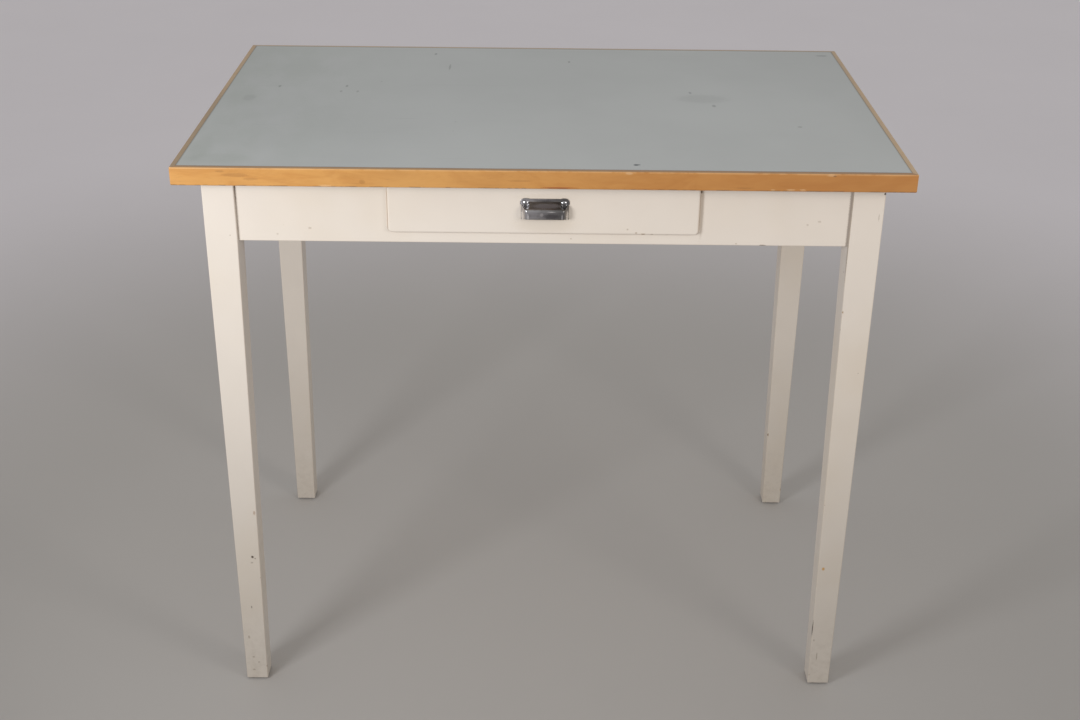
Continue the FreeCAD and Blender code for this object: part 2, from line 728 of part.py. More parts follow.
def runner(x_low, x_high, screw_x):
    """Level strip under a guide, with a ledge that the drawer's side slides on."""
    strip = slab(x_low, x_high, -APRON_INNER_Y, APRON_INNER_Y, RUNNER_LOW_Z, RUNNER_TOP_Z)
    return strip.cut(runner_screws(screw_x, screw_hole))


def drawer_stop(x_low):
    """Block on a runner's ledge that stops the drawer when it is shut."""
    near_y = DRAWER_REAR_Y + RUNNING_CLEARANCE
    return slab(x_low, x_low + STOP_WIDTH, near_y, near_y + STOP_LENGTH,
                RUNNER_TOP_Z, RUNNER_TOP_Z + STOP_HEIGHT)


# ---------------------------------------------------------------- drawer
def dovetail_tails(x_low):
    """Tails of a drawer side that lap into the drawer front."""
    height = DRAWER_SIDE_HIGH_Z - DRAWER_LOW_Z
    root_y = DRAWER_FRONT_BACK_Y
    tip_y = DRAWER_FACE_Y + DOVETAIL_LAP
    spread = (root_y - tip_y) * DOVETAIL_SLOPE
    pitch = (height - DOVETAIL_PIN_WIDTH) / DOVETAIL_COUNT
    tails = []
    for index in range(DOVETAIL_COUNT):
        low_z = DRAWER_LOW_Z + DOVETAIL_PIN_WIDTH + index * pitch
        high_z = low_z + pitch - DOVETAIL_PIN_WIDTH
        points = [Vector(x_low, root_y, low_z), Vector(x_low, tip_y, low_z - spread),
                  Vector(x_low, tip_y, high_z + spread), Vector(x_low, root_y, high_z)]
        tails.append(prism(points, Vector(DRAWER_SIDE_THICKNESS, 0, 0)))
    return tails


def bottom_groove():
    """Space that the drawer's bottom panel and its grooves take."""
    return slab(DRAWER_INNER_LEFT_X - GROOVE_DEPTH, DRAWER_INNER_RIGHT_X + GROOVE_DEPTH,
                DRAWER_FRONT_BACK_Y - GROOVE_DEPTH, DRAWER_REAR_Y,
                DRAWER_BOTTOM_LOW_Z, DRAWER_BOTTOM_HIGH_Z)


def back_fingers(x_low, parity):
    """Finger joint cells between a drawer side and the drawer back, every second one."""
    pitch = (DRAWER_BACK_HIGH_Z - DRAWER_BOTTOM_HIGH_Z) / FINGER_COUNT
    near_y = DRAWER_REAR_Y - DRAWER_BACK_THICKNESS
    return [slab(x_low, x_low + DRAWER_SIDE_THICKNESS, near_y, DRAWER_REAR_Y,
                 DRAWER_BOTTOM_HIGH_Z + index * pitch, DRAWER_BOTTOM_HIGH_Z + (index + 1) * pitch)
            for index in range(parity, FINGER_COUNT, 2)]


def drawer_corner_radius():
    """Radius of the drawer's lower outer corners, so that they clear the opening's."""
    tightest_gap = min(DRAWER_GAP_LEFT, DRAWER_GAP_RIGHT, DRAWER_GAP_BOTTOM)
    return max(OPENING_CORNER_RADIUS - tightest_gap, DRAWER_FRONT_ARRIS_RADIUS)


def drawer_front():
    """Inset drawer front that stands proud of the front apron."""
    corners = [
        (Vector(DRAWER_LEFT_X, DRAWER_FACE_Y, DRAWER_LOW_Z), drawer_corner_radius()),
        (Vector(DRAWER_RIGHT_X, DRAWER_FACE_Y, DRAWER_LOW_Z), drawer_corner_radius()),
        (Vector(DRAWER_RIGHT_X, DRAWER_FACE_Y, DRAWER_HIGH_Z), 0),
        (Vector(DRAWER_LEFT_X, DRAWER_FACE_Y, DRAWER_HIGH_Z), 0),
    ]
    front = extrude_outline(corners, Vector(0, DRAWER_FRONT_THICKNESS, 0))
    front = soften(front, DRAWER_FRONT_ARRIS_RADIUS, lambda edge: on_plane_y(edge, DRAWER_FACE_Y))
    sockets = dovetail_tails(DRAWER_LEFT_X) + dovetail_tails(DRAWER_INNER_RIGHT_X)
    return front.cut(sockets).cut([bottom_groove()] + pull_screws(screw_hole))


def drawer_side(x_low, outer_x):
    """Drawer side with tails at the front, a groove for the bottom and fingers at the back."""
    side = slab(x_low, x_low + DRAWER_SIDE_THICKNESS, DRAWER_FRONT_BACK_Y, DRAWER_REAR_Y,
                DRAWER_LOW_Z, DRAWER_SIDE_HIGH_Z)

    def lower_outer(edge):
        return on_plane_z(edge, DRAWER_LOW_Z) and on_plane_x(edge, outer_x)

    side = soften(side, drawer_corner_radius(), lower_outer)
    side = side.fuse(dovetail_tails(x_low)).removeSplitter()
    return side.cut([bottom_groove()] + back_fingers(x_low, 0))


def drawer_back():
    """Drawer back above the bottom panel, finger-jointed to both sides."""
    near_y = DRAWER_REAR_Y - DRAWER_BACK_THICKNESS
    board = slab(DRAWER_INNER_LEFT_X, DRAWER_INNER_RIGHT_X, near_y, DRAWER_REAR_Y,
                 DRAWER_BOTTOM_HIGH_Z, DRAWER_BACK_HIGH_Z)
    fingers = back_fingers(DRAWER_LEFT_X, 0) + back_fingers(DRAWER_INNER_RIGHT_X, 0)
    return board.fuse(fingers).removeSplitter().cut(bottom_nails(nail_hole))


def drawer_bottom():
    """Plywood bottom, slid into its grooves from the back and nailed to the drawer back."""
    edge = GROOVE_DEPTH - PANEL_CLEARANCE
    panel = slab(DRAWER_INNER_LEFT_X - edge, DRAWER_INNER_RIGHT_X + edge,
                 DRAWER_FRONT_BACK_Y - edge, DRAWER_REAR_Y,
                 DRAWER_BOTTOM_LOW_Z, DRAWER_BOTTOM_HIGH_Z)
    return panel.cut(bottom_nails(nail_hole))


def bottom_nails(maker):
    """Nails from below through the bottom into the drawer back, or the space that they fill."""
    first_x = DRAWER_INNER_LEFT_X + NAIL_EDGE_DISTANCE
    last_x = DRAWER_INNER_RIGHT_X - NAIL_EDGE_DISTANCE
    step = (last_x - first_x) / (NAIL_COUNT - 1)
    y = DRAWER_REAR_Y - DRAWER_BACK_THICKNESS / 2
    one = maker(NAIL_HEAD, NAIL_SHANK, NAIL_LENGTH)
    return [aimed(one, Vector(first_x + index * step, y, DRAWER_BOTTOM_LOW_Z), Vector(0, 0, 1))
            for index in range(NAIL_COUNT)]


# ---------------------------------------------------------------- cup pull
def pull_place(across, out, above):
    """Point on the pull: across to the right, out of the drawer front, above its screws."""
    return Vector(PULL_CENTRE_X + across, DRAWER_FACE_Y - out, PULL_Z + above)


def pull_rectangle(half_width, out, low, high):
    """Wire of a rectangle parallel to the drawer front."""
    points = [pull_place(-half_width, out, low), pull_place(half_width, out, low),
              pull_place(half_width, out, high), pull_place(-half_width, out, high)]
    return Part.makePolygon(points + [points[0]])


def hood_outside():
    """Outer form of the hood, widest and tallest where it meets the drawer front."""
    back = pull_rectangle(HOOD_BACK_HALF_WIDTH, 0, -HOOD_BACK_RIM_BELOW, HOOD_BEND_ABOVE)
    front = pull_rectangle(HOOD_FRONT_HALF_WIDTH, HOOD_DEPTH,
                           -HOOD_FRONT_RIM_BELOW, -HOOD_CREASE_BELOW)
    hood = Part.makeLoft([back, front], True, True)
    return round_hood(hood, HOOD_DEPTH, -HOOD_FRONT_RIM_BELOW, 0.0)


def hood_inside():
    """Hollow of the hood, open at the back and below."""
    sheet = PULL_SHEET
    low = -HOOD_BACK_RIM_BELOW - HOOD_DEPTH
    back = pull_rectangle(HOOD_BACK_HALF_WIDTH - sheet, 0, low, HOOD_BEND_ABOVE - sheet)
    front = pull_rectangle(HOOD_FRONT_HALF_WIDTH - sheet, HOOD_DEPTH - sheet,
                           low, -HOOD_CREASE_BELOW - sheet)
    hollow = Part.makeLoft([back, front], True, True)
    return round_hood(hollow, HOOD_DEPTH - sheet, low, sheet)


def round_hood(shape, depth, rim, inset):
    """Round the corners at the front of the hood, and its crease, all but the rim below."""
    front_y = DRAWER_FACE_Y - depth
    rim_z = PULL_Z + rim

    def corner(edge):
        return upright(edge) and on_plane_y(edge, front_y)

    def crease(edge):
        return on_plane_y(edge, front_y) and not on_plane_z(edge, rim_z)

    shape = soften(shape, HOOD_CORNER_RADIUS - inset, corner)
    return soften(shape, HOOD_CREASE_RADIUS - inset, crease)


def ear_cylinder(across, radius, length):
    """Cylinder about one screw's axis, from the drawer front outward."""
    return Part.makeCylinder(radius, length, pull_place(across, 0, 0), Vector(0, -1, 0))


def outward_slab(side, low, high, depth):
    """Slab from a screw's axis outward, between two heights, over the pull's depth."""
    near_x = PULL_CENTRE_X + side * PULL_SCREW_SPACING / 2
    far_x = near_x + side * (HOOD_SIDE_REACH + EAR_RADIUS)
    return slab(min(near_x, far_x), max(near_x, far_x), DRAWER_FACE_Y - depth, DRAWER_FACE_Y,
                PULL_Z + low, PULL_Z + high)


def scooped_hood(outside, inside):
    """Hood of bent sheet with a scoop round each screw and a level shoulder beside it."""
    hood = outside.cut(inside)
    shoulder = -HOOD_SHOULDER_BELOW
    walls = []
    for side in (-1, 1):
        across = side * PULL_SCREW_SPACING / 2
        scoop = ear_cylinder(across, SCOOP_RADIUS, HOOD_DEPTH)
        scoop_wall = ear_cylinder(across, SCOOP_RADIUS + PULL_SHEET, HOOD_DEPTH)
        above_shoulder = outward_slab(side, shoulder, HOOD_BEND_ABOVE, HOOD_DEPTH)
        shoulder_wall = outward_slab(side, shoulder - PULL_SHEET, shoulder, HOOD_DEPTH)
        removed = scoop.fuse(above_shoulder)
        walls.append(scoop_wall.fuse(shoulder_wall).common(outside).cut(removed))
        hood = hood.cut(removed)
    return hood.fuse(walls)


def pull_flange(inside):
    """Flat flange on the drawer front: a strip above the hood with an ear at each end."""
    reach = PULL_SCREW_SPACING / 2
    low_z = PULL_Z - HOOD_SHOULDER_BELOW
    strip = slab(PULL_CENTRE_X - reach, PULL_CENTRE_X + reach,
                 DRAWER_FACE_Y - PULL_SHEET, DRAWER_FACE_Y, low_z, PULL_Z + FLANGE_ABOVE)
    above_bend = slab(PULL_CENTRE_X - reach - EAR_RADIUS, PULL_CENTRE_X + reach + EAR_RADIUS,
                      DRAWER_FACE_Y - PULL_SHEET, DRAWER_FACE_Y,
                      PULL_Z + HOOD_BEND_ABOVE, PULL_Z + EAR_RADIUS)
    ears = []
    for side in (-1, 1):
        ear = ear_cylinder(side * reach, EAR_RADIUS, PULL_SHEET)
        beside_hood = outward_slab(side, -HOOD_SHOULDER_BELOW, EAR_RADIUS, PULL_SHEET)
        scoop_floor = ear_cylinder(side * reach, SCOOP_RADIUS + PULL_SHEET, PULL_SHEET)
        ears.append(ear.common(beside_hood.fuse(above_bend)).fuse(scoop_floor))
    return strip.cut(inside).fuse(ears)


def drawer_pull():
    """Pressed cup pull: a hood open below, with two flat ears scooped out for the screws."""
    inside = hood_inside()
    pull = scooped_hood(hood_outside(), inside).fuse(pull_flange(inside)).removeSplitter()
    return pull.cut(pull_screws(screw_hole))


def pull_screws(maker):
    """Screws through the pull's ears into the drawer front, or the space that they fill."""
    one = maker(PULL_SCREW_HEAD, PULL_SCREW_SHANK, PULL_SCREW_LENGTH)
    reach = PULL_SCREW_SPACING / 2
    return [aimed(one, pull_place(across, PULL_SHEET, 0), Vector(0, 1, 0))
            for across in (-reach, reach)]


# ---------------------------------------------------------------- the whole table
def frame_pieces():
    """Pieces that stand still."""
    front_left_leg = leg_front_left()
    front_left_glide = foot_glide_front_left()
    front_left_block = corner_block_front_left()
    left_lipping = lipping_left()
    front_lipping = lipping_front()
    left_apron = apron_left()
    block_screws = block_screws_front_left(screw)
    block_screws += [mirror_x(one) for one in block_screws]
    block_screws += [mirror_y(one) for one in block_screws]
    left_screw_x = OPENING_LEFT_X - GUIDE_WIDTH / 2
    right_screw_x = OPENING_RIGHT_X + GUIDE_WIDTH / 2
    all_runner_screws = runner_screws(left_screw_x, screw) + runner_screws(right_screw_x, screw)
    pieces = {
        "top_core": top_core(),
        "top_laminate": top_laminate(),
        "lipping_front": front_lipping,
        "lipping_back": mirror_y(front_lipping),
        "lipping_left": left_lipping,
        "lipping_right": mirror_x(left_lipping),
        "apron_front": apron_front(),
        "apron_back": apron_back(),
        "apron_left": left_apron,
        "apron_right": mirror_x(left_apron),
        "corner_block_screws": group(block_screws),
        "top_buttons": group([top_button(place) for place in button_places()]),
        "top_button_screws": group([top_button_screw(place) for place in button_places()]),
        "guide_left": guide(OPENING_LEFT_X - GUIDE_WIDTH),
        "guide_right": guide(OPENING_RIGHT_X),
        "runner_left": runner(OPENING_LEFT_X - GUIDE_WIDTH, OPENING_LEFT_X + RUNNER_LEDGE,
                              left_screw_x),
        "runner_right": runner(OPENING_RIGHT_X - RUNNER_LEDGE, OPENING_RIGHT_X + GUIDE_WIDTH,
                               right_screw_x),
        "runner_screws": group(all_runner_screws),
        "drawer_stop_left": drawer_stop(OPENING_LEFT_X),
        "drawer_stop_right": drawer_stop(OPENING_RIGHT_X - STOP_WIDTH),
    }
    corner_pieces = {"leg": front_left_leg, "foot_glide": front_left_glide,
                     "corner_block": front_left_block}
    for name, shape in corner_pieces.items():
        pieces[name + "_front_left"] = shape
        pieces[name + "_front_right"] = mirror_x(shape)
        pieces[name + "_back_left"] = mirror_y(shape)
        pieces[name + "_back_right"] = mirror_y(mirror_x(shape))
    return pieces


def drawer_pieces():
    """Pieces that slide out together."""
    return {
        "drawer_front": drawer_front(),
        "drawer_side_left": drawer_side(DRAWER_LEFT_X, DRAWER_LEFT_X),
        "drawer_side_right": drawer_side(DRAWER_INNER_RIGHT_X, DRAWER_RIGHT_X),
        "drawer_back": drawer_back(),
        "drawer_bottom": drawer_bottom(),
        "drawer_bottom_nails": group(bottom_nails(nail)),
        "drawer_pull": drawer_pull(),
        "pull_screws": group(pull_screws(cross_screw)),
    }


def main():
    """Write one STEP file per piece."""
    os.makedirs("parts", exist_ok=True)
    pieces = {**frame_pieces(), **drawer_pieces()}
    for name, shape in pieces.items():
        shape.exportStep(f"parts/{name}.step")
        solids = len(shape.Solids)
        print(f"{name}: {solids} solid(s), {shape.Volume / 1000:.2f} cm3, valid {shape.isValid()}")


main()
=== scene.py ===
"""Kitchen table with one drawer: its finishes, its pressed pull and the studio round it.

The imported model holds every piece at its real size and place. This script gives each piece
its finish, models the pull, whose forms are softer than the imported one's, and sets up the
floor, the lights and the camera. Lengths are in metres, and +Y points to the back.
"""

import logging
import math
from dataclasses import dataclass, field, replace
from enum import Enum
from typing import Callable, Optional, Sequence, Union

import bpy
from mathutils import Matrix, Vector


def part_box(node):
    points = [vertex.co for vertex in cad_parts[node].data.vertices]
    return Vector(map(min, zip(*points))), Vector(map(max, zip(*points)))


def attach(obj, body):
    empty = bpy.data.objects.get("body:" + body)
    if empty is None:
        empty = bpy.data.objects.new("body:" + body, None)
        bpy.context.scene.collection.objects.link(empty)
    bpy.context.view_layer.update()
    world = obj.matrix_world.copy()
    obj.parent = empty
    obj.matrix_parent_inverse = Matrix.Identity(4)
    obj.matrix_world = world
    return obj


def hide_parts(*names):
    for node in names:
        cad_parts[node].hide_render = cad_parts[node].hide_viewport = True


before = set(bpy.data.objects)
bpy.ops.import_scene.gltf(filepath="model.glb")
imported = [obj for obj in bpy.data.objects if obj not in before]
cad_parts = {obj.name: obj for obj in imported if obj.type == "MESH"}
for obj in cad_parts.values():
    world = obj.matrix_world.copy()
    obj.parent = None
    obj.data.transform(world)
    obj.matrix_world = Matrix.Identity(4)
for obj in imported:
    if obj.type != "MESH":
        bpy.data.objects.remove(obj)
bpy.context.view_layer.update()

log = logging.getLogger("kitchen_table")

MM = 0.001
Colour = tuple[float, float, float, float]
Triple = tuple[float, float, float]
Key = Union[str, int]


def srgb(red: int, green: int, blue: int) -> Colour:
    """Turn screen levels, from 0 to 255, into the linear colour that a shader takes."""
    levels = (red / 255, green / 255, blue / 255)
    linear = (
        level / 12.92 if level <= 0.04045 else ((level + 0.055) / 1.055) ** 2.4
        for level in levels
    )
    return (*linear, 1.0)


class Axis(Enum):
    """Direction along which a board lies, so its grain and brush strokes do too."""

    X = 0
    Y = 1
    Z = 2

    def stretch(self, along: float, across: float) -> Triple:
        """Factors on the three coordinates: one along this direction, one across it."""
        return tuple(along if index == self.value else across for index in range(3))


# ---- shader sheets
def step(operation: str, swapped: bool = False) -> Callable[["Field", "Operand"], "Field"]:
    """Make an operator of Field that adds one step of arithmetic to the sheet.

    Args:
        operation: Name of the step.
        swapped: True where the field is the second of the two values.
    """

    def operator(self: "Field", other: "Operand") -> "Field":
        first, second = (other, self) if swapped else (self, other)
        return self.sheet.math(operation, first, second)

    return operator


class Field:
    """A value or colour that changes over a surface: one output socket of a sheet."""

    def __init__(self, sheet: "Sheet", socket: bpy.types.NodeSocket) -> None:
        """Wrap an output socket of a sheet's node tree."""
        self.sheet = sheet
        self.socket = socket

    __add__ = __radd__ = step("ADD")
    __sub__ = step("SUBTRACT")
    __rsub__ = step("SUBTRACT", swapped=True)
    __mul__ = __rmul__ = step("MULTIPLY")
    __truediv__ = step("DIVIDE")


Operand = Union[Field, float]
Tone = Union[Field, Colour]


class Sheet:
    """The node tree of one material, written with expressions instead of loose nodes."""

    def __init__(self, name: str) -> None:
        """Make a new material with an empty Principled surface."""
        self.material = bpy.data.materials.new(name)
        self.material.use_nodes = True
        self.tree = self.material.node_tree
        self.surface = self.tree.nodes["Principled BSDF"]
        self.position = self.node("ShaderNodeTexCoord", {}, {}, "Object")
        self.axes = tuple(
            self.node("ShaderNodeSeparateXYZ", {}, {"Vector": self.position}, letter)
            for letter in "XYZ"
        )

    def node(
        self,
        kind: str,
        settings: dict[str, object],
        inputs: dict[Key, object],
        output: Key = 0,
    ) -> Field:
        """Add one node, the single way in which this script makes them.

        Args:
            kind: Type of the node.
            settings: The node's own settings, set before its sockets.
            inputs: Values or fields for its sockets, by identifier or number.
            output: Identifier or number of the output that is wanted.
        """
        made = self.tree.nodes.new(kind)
        for key, value in settings.items():
            setattr(made, key, value)
        for key, value in inputs.items():
            self._join(self._find(made.inputs, key), value)
        return Field(self, self._find(made.outputs, output))

    @staticmethod
    def _find(sockets: bpy.types.bpy_prop_collection, key: Key) -> bpy.types.NodeSocket:
        """Find a socket by its number or identifier."""
        if isinstance(key, int):
            return sockets[key]
        return next(socket for socket in sockets if socket.identifier == key)

    def _join(self, socket: bpy.types.NodeSocket, value: object) -> None:
        """Link a field to an input socket, or write a plain value in it."""
        if isinstance(value, Field):
            self.tree.links.new(value.socket, socket)
        else:
            socket.default_value = value

    def math(self, operation: str, first: Operand, second: Operand = 0.0) -> Field:
        """Work out one step of arithmetic."""
        return self.node("ShaderNodeMath", {"operation": operation}, {0: first, 1: second})

    def least(self, first: Operand, second: Operand) -> Field:
        """Smaller of two values."""
        return self.math("MINIMUM", first, second)

    def most(self, first: Operand, second: Operand) -> Field:
        """Larger of two values."""
        return self.math("MAXIMUM", first, second)

    def fade(self, value: Operand, start: float, end: float) -> Field:
        """Ease from 0 to 1 while a value goes from start to end, in either direction.

        Args:
            value: The value that is watched.
            start: Where the result is 0.
            end: Where the result is 1.
        """
        low, high = min(start, end), max(start, end)
        eased = self.node(
            "ShaderNodeMapRange",
            {"interpolation_type": "SMOOTHSTEP"},
            {"Value": value, "From Min": low, "From Max": high},
        )
        return eased if start < end else 1.0 - eased

    def stretched(self, factors: Triple, offset: Triple) -> Field:
        """Object coordinates, scaled along each axis and then shifted."""
        return self.node(
            "ShaderNodeVectorMath",
            {"operation": "MULTIPLY_ADD"},
            {0: self.position, 1: factors, 2: offset},
        )

    def length(self, vector: Field) -> Field:
        """Length of a vector."""
        return self.node("ShaderNodeVectorMath", {"operation": "LENGTH"}, {0: vector}, "Value")

    def noise(
        self,
        scale: float,
        stretch: Triple = (1.0, 1.0, 1.0),
        detail: float = 2.0,
        roughness: float = 0.5,
        distortion: float = 0.0,
        seed: float = 0.0,
    ) -> Field:
        """Smooth noise from 0 to 1.

        Args:
            scale: Waves per metre.
            stretch: Factor on the coordinates along each axis.
            detail: Octaves of finer noise.
            roughness: Strength of the finer octaves.
            distortion: How far the noise warps itself.
            seed: Shift that gives another pattern of the same kind.
        """
        return self.node(
            "ShaderNodeTexNoise",
            {},
            {
                "Vector": self.stretched(stretch, (seed, seed * 0.7, -seed)),
                "Scale": scale,
                "Detail": detail,
                "Roughness": roughness,
                "Distortion": distortion,
            },
        )

    def specks(self, scale: float, size: float, share: float, seed: float = 0.0) -> Field:
        """Small round specks, thinly scattered.

        Args:
            scale: Cells per metre, each of which may hold one speck.
            size: Radius of a speck, as a share of its cell.
            share: Share of the cells that hold a speck.
            seed: Shift that gives another pattern of the same kind.

        Returns:
            1 inside a speck and 0 outside.
        """
        place = self.stretched((1.0, 1.0, 1.0), (seed, -seed, seed * 0.3))
        cell = {"Vector": place, "Scale": scale, "Randomness": 1.0}
        near = self.node("ShaderNodeTexVoronoi", {}, cell, "Distance")
        chance = self.node("ShaderNodeTexVoronoi", {}, cell, "Color")
        draw = self.node("ShaderNodeSeparateColor", {}, {"Color": chance}, "Red")
        radius = self.fade(draw, 1.0 - share, 1.0) * size
        drawn = self.fade(draw, 1.0 - share, 1.0 - share * 0.9)
        return self.fade(near - radius, 0.02, -0.02) * drawn

    def blend(self, amount: Operand, base: Tone, top: Tone, mode: str = "MIX") -> Field:
        """Lay one colour over another.

        Args:
            amount: How much of the upper colour shows, from 0 to 1.
            base: Lower colour.
            top: Upper colour.
            mode: How the two are mixed.
        """
        return self.node(
            "ShaderNodeMix",
            {"data_type": "RGBA", "blend_type": mode},
            {"Factor_Float": amount, "A_Color": base, "B_Color": top},
            "Result_Color",
        )

    def tint(self, base: Tone, strength: Operand) -> Field:
        """Multiply a colour by a grey value."""
        grey = self.node("ShaderNodeCombineColor", {}, {0: strength, 1: strength, 2: strength})
        return self.blend(1.0, base, grey, "MULTIPLY")

    def spot(self, mark: "Mark", ragged: Field) -> Field:
        """Soft-edged patch round a place.

        Args:
            mark: The place, size and strength of the patch.
            ragged: Noise that roughens the patch's outline.

        Returns:
            The mark's strength inside the patch, and 0 outside.
        """
        inverse = tuple(1.0 / reach for reach in mark.reach)
        shift = tuple(-centre * factor for centre, factor in zip(mark.centre, inverse))
        distance = self.length(self.stretched(inverse, shift))
        return self.fade(distance + ragged * 0.9, 1.6, 1.0) * mark.strength

    def marks(self, base: Tone, marks: Sequence["Mark"]) -> Tone:
        """Lay a row of marks over a colour."""
        ragged = self.noise(900.0, detail=1.0)
        for mark in marks:
            base = self.blend(self.spot(mark, ragged), base, mark.colour)
        return base

    def dress(
        self,
        colour: Tone,
        roughness: Operand,
        height: Optional[Field] = None,
        depth: float = 0.0,
    ) -> None:
        """Join the finished fields to the surface.

        Args:
            colour: Base colour.
            roughness: Roughness.
            height: Relief from 0 to 1, or None for a smooth surface.
            depth: Height of the relief in metres.
        """
        self.set("Base Color", colour)
        self.set("Roughness", roughness)
        if height is not None:
            inputs = {"Height": height, "Strength": 1.0, "Distance": depth}
            self.set("Normal", self.node("ShaderNodeBump", {}, inputs))

    def set(self, socket: str, value: Union[Operand, Tone]) -> None:
        """Set or link one of the surface's own sockets."""
        self._join(self.surface.inputs[socket], value)


@dataclass(frozen=True)
class Mark:
    """A stain, chip or scratch at one place on the table."""

    centre: Triple
    reach: Triple
    colour: Colour
    strength: float


MarkRow = tuple[float, float, float, float, Colour, float]


def marks_on_front(face: float, depth: float, rows: Sequence[MarkRow]) -> tuple[Mark, ...]:
    """Marks on a face that looks to the front.

    Args:
        face: The face's place along Y.
        depth: How far a mark reaches in and out of the face.
        rows: Place along X and Z, reach along X and Z in millimetres, colour and strength.
    """
    return tuple(
        Mark((x, face, z), (wide * MM, depth, tall * MM), colour, strength)
        for x, z, wide, tall, colour, strength in rows
    )


# ---- finishes
@dataclass(frozen=True)
class Finish:
    """A surface finish that becomes one material."""

    name: str

    def shade(self, sheet: Sheet) -> None:
        """Write the finish on an empty sheet."""
        raise NotImplementedError

    def material(self) -> bpy.types.Material:
        """Make the material of this finish."""
        sheet = Sheet(self.name)
        self.shade(sheet)
        return sheet.material


@dataclass(frozen=True)
class Timber(Finish):
    """Planed wood with growth rings, fibres and pores."""

    axis: Axis
    early: Colour
    late: Colour
    heart: Triple
    ring: float = 2.6 * MM
    contrast: float = 0.55
    gloss: float = 0.62
    marks: tuple[Mark, ...] = ()

    def wood(self, sheet: Sheet) -> tuple[Field, Field]:
        """Colour of the wood, and its relief from 0 to 1."""
        first, second = (
            sheet.axes[index] - self.heart[index] for index in range(3) if index != self.axis.value
        )
        sway = sheet.noise(3.0, self.axis.stretch(0.6, 1.0), detail=1.0, seed=self.heart[0] * 9)
        radius = sheet.math("SQRT", first * first + second * second) + (sway - 0.5) * 12 * MM
        wobble = sheet.noise(28.0, self.axis.stretch(0.12, 1.0), detail=2.0) * 0.9
        turn = sheet.math("FRACT", radius / self.ring + wobble)
        ring = sheet.fade(turn, 0.15, 0.85) - sheet.fade(turn, 0.88, 0.99)
        fibre = sheet.noise(60.0, self.axis.stretch(0.25, 14.0), detail=3.0, roughness=0.7)
        cloud = sheet.noise(9.0, self.axis.stretch(0.3, 1.6), detail=2.0)
        amount = ring * self.contrast + fibre * 0.45 + cloud * 0.3 - 0.22
        colour = sheet.blend(amount, self.early, self.late)
        pores = sheet.noise(160.0, self.axis.stretch(0.05, 7.0), detail=1.0, seed=3.1)
        dark = sheet.fade(pores, 0.62, 0.74)
        return sheet.tint(colour, 1.0 - dark * 0.16), fibre * 0.6 + (1.0 - dark) * 0.4

    def shade(self, sheet: Sheet) -> None:
        """Write bare or lightly varnished wood."""
        colour, relief = self.wood(sheet)
        hands = sheet.noise(14.0, detail=3.0, seed=8.0)
        sheet.dress(
            sheet.marks(colour, self.marks),
            self.gloss + (hands - 0.5) * 0.18,
            relief,
            0.08 * MM,
        )


BARE_FACE = Timber(
    "bare_face", Axis.X, srgb(206, 172, 122), srgb(162, 116, 68), (0.11, 0.17, 0.58)
)


@dataclass(frozen=True, kw_only=True)
class Lipping(Timber):
    """Varnished hardwood edging: close grain, amber varnish, worn and grimy arrises, and painted
    shade towards its right end.
    """

    low_z: float
    high_z: float
    inner: float
    outer: float
    dust_and_shade: Colour
    lit_end: float = -0.30
    shaded_end: float = 0.34
    coat: float = 0.25
    flame: Colour = srgb(212, 164, 98)
    shaded_tone: Colour = srgb(170, 110, 54)
    rubbed: Colour = srgb(232, 190, 136)
    grime: Colour = srgb(104, 78, 56)

    def shade(self, sheet: Sheet) -> None:
        """Write varnished edging with its worn arrises, the joint to the laminate, and the dust
        and painted shade on its top face.
        """
        _, relief = self.wood(sheet)
        figure = sheet.noise(
            26.0,
            self.axis.stretch(0.55, 1.5),
            detail=4.0,
            roughness=0.62,
            distortion=0.9,
            seed=5.5,
        )
        colour = sheet.blend(sheet.fade(figure, 0.34, 0.70) * 0.62, self.early, self.late)
        cloud = sheet.noise(9.0, self.axis.stretch(0.5, 1.0), detail=2.0, seed=2.2)
        colour = sheet.blend(sheet.fade(cloud, 0.44, 0.72) * 0.34, colour, self.flame)
        silk = sheet.noise(70.0, self.axis.stretch(0.25, 4.0), detail=2.0, roughness=0.6, seed=8.2)
        colour = sheet.tint(colour, 0.89 + silk * 0.14)
        flecks = sheet.noise(420.0, self.axis.stretch(0.16, 1.6), detail=1.0, seed=1.7)
        colour = sheet.tint(colour, 1.0 - sheet.fade(flecks, 0.64, 0.76) * 0.10)
        # Painted shade: the edging is made darker towards its right end.
        along = sheet.axes[self.axis.value] + (cloud - 0.5) * 0.3
        aged = sheet.fade(along, self.lit_end, self.shaded_end)
        colour = sheet.blend(aged * 0.62, colour, self.shaded_tone)
        height = sheet.axes[2]
        side = sheet.axes[1 if self.axis is Axis.X else 0]
        across = sheet.math("ABSOLUTE", side)
        ragged = sheet.noise(70.0, detail=3.0, roughness=0.65, seed=4.4)
        on_top = sheet.fade(height, self.high_z - 0.6 * MM, self.high_z - 0.1 * MM)
        # Dust and painted shade on the top face, which takes only grazing light.
        colour = sheet.blend(on_top * (0.42 + ragged * 0.46), colour, self.dust_and_shade)
        joint = sheet.fade(across - self.inner, 0.75 * MM, 0.25 * MM) * on_top
        colour = sheet.blend(joint * 0.85, colour, self.grime)
        rub = sheet.fade(across - self.outer, -1.5 * MM, -0.5 * MM)
        rub = rub * sheet.fade(height, self.high_z - 2.4 * MM, self.high_z - 1.0 * MM)
        colour = sheet.blend(rub * sheet.fade(ragged, 0.3, 0.55) * 0.30, colour, self.rubbed)
        under = sheet.fade(height, self.low_z + 2.2 * MM, self.low_z + 0.4 * MM)
        colour = sheet.blend(under * sheet.fade(ragged, 0.46, 0.6) * 0.6, colour, self.grime)
        wear = sheet.noise(45.0, detail=2.0, seed=6.0)
        sheet.dress(
            sheet.marks(colour, self.marks),
            self.gloss + on_top * 0.22 + (wear - 0.5) * 0.2,
            relief,
            0.03 * MM,
        )
        sheet.set("Coat Weight", self.coat)
        sheet.set("Coat Roughness", 0.22)


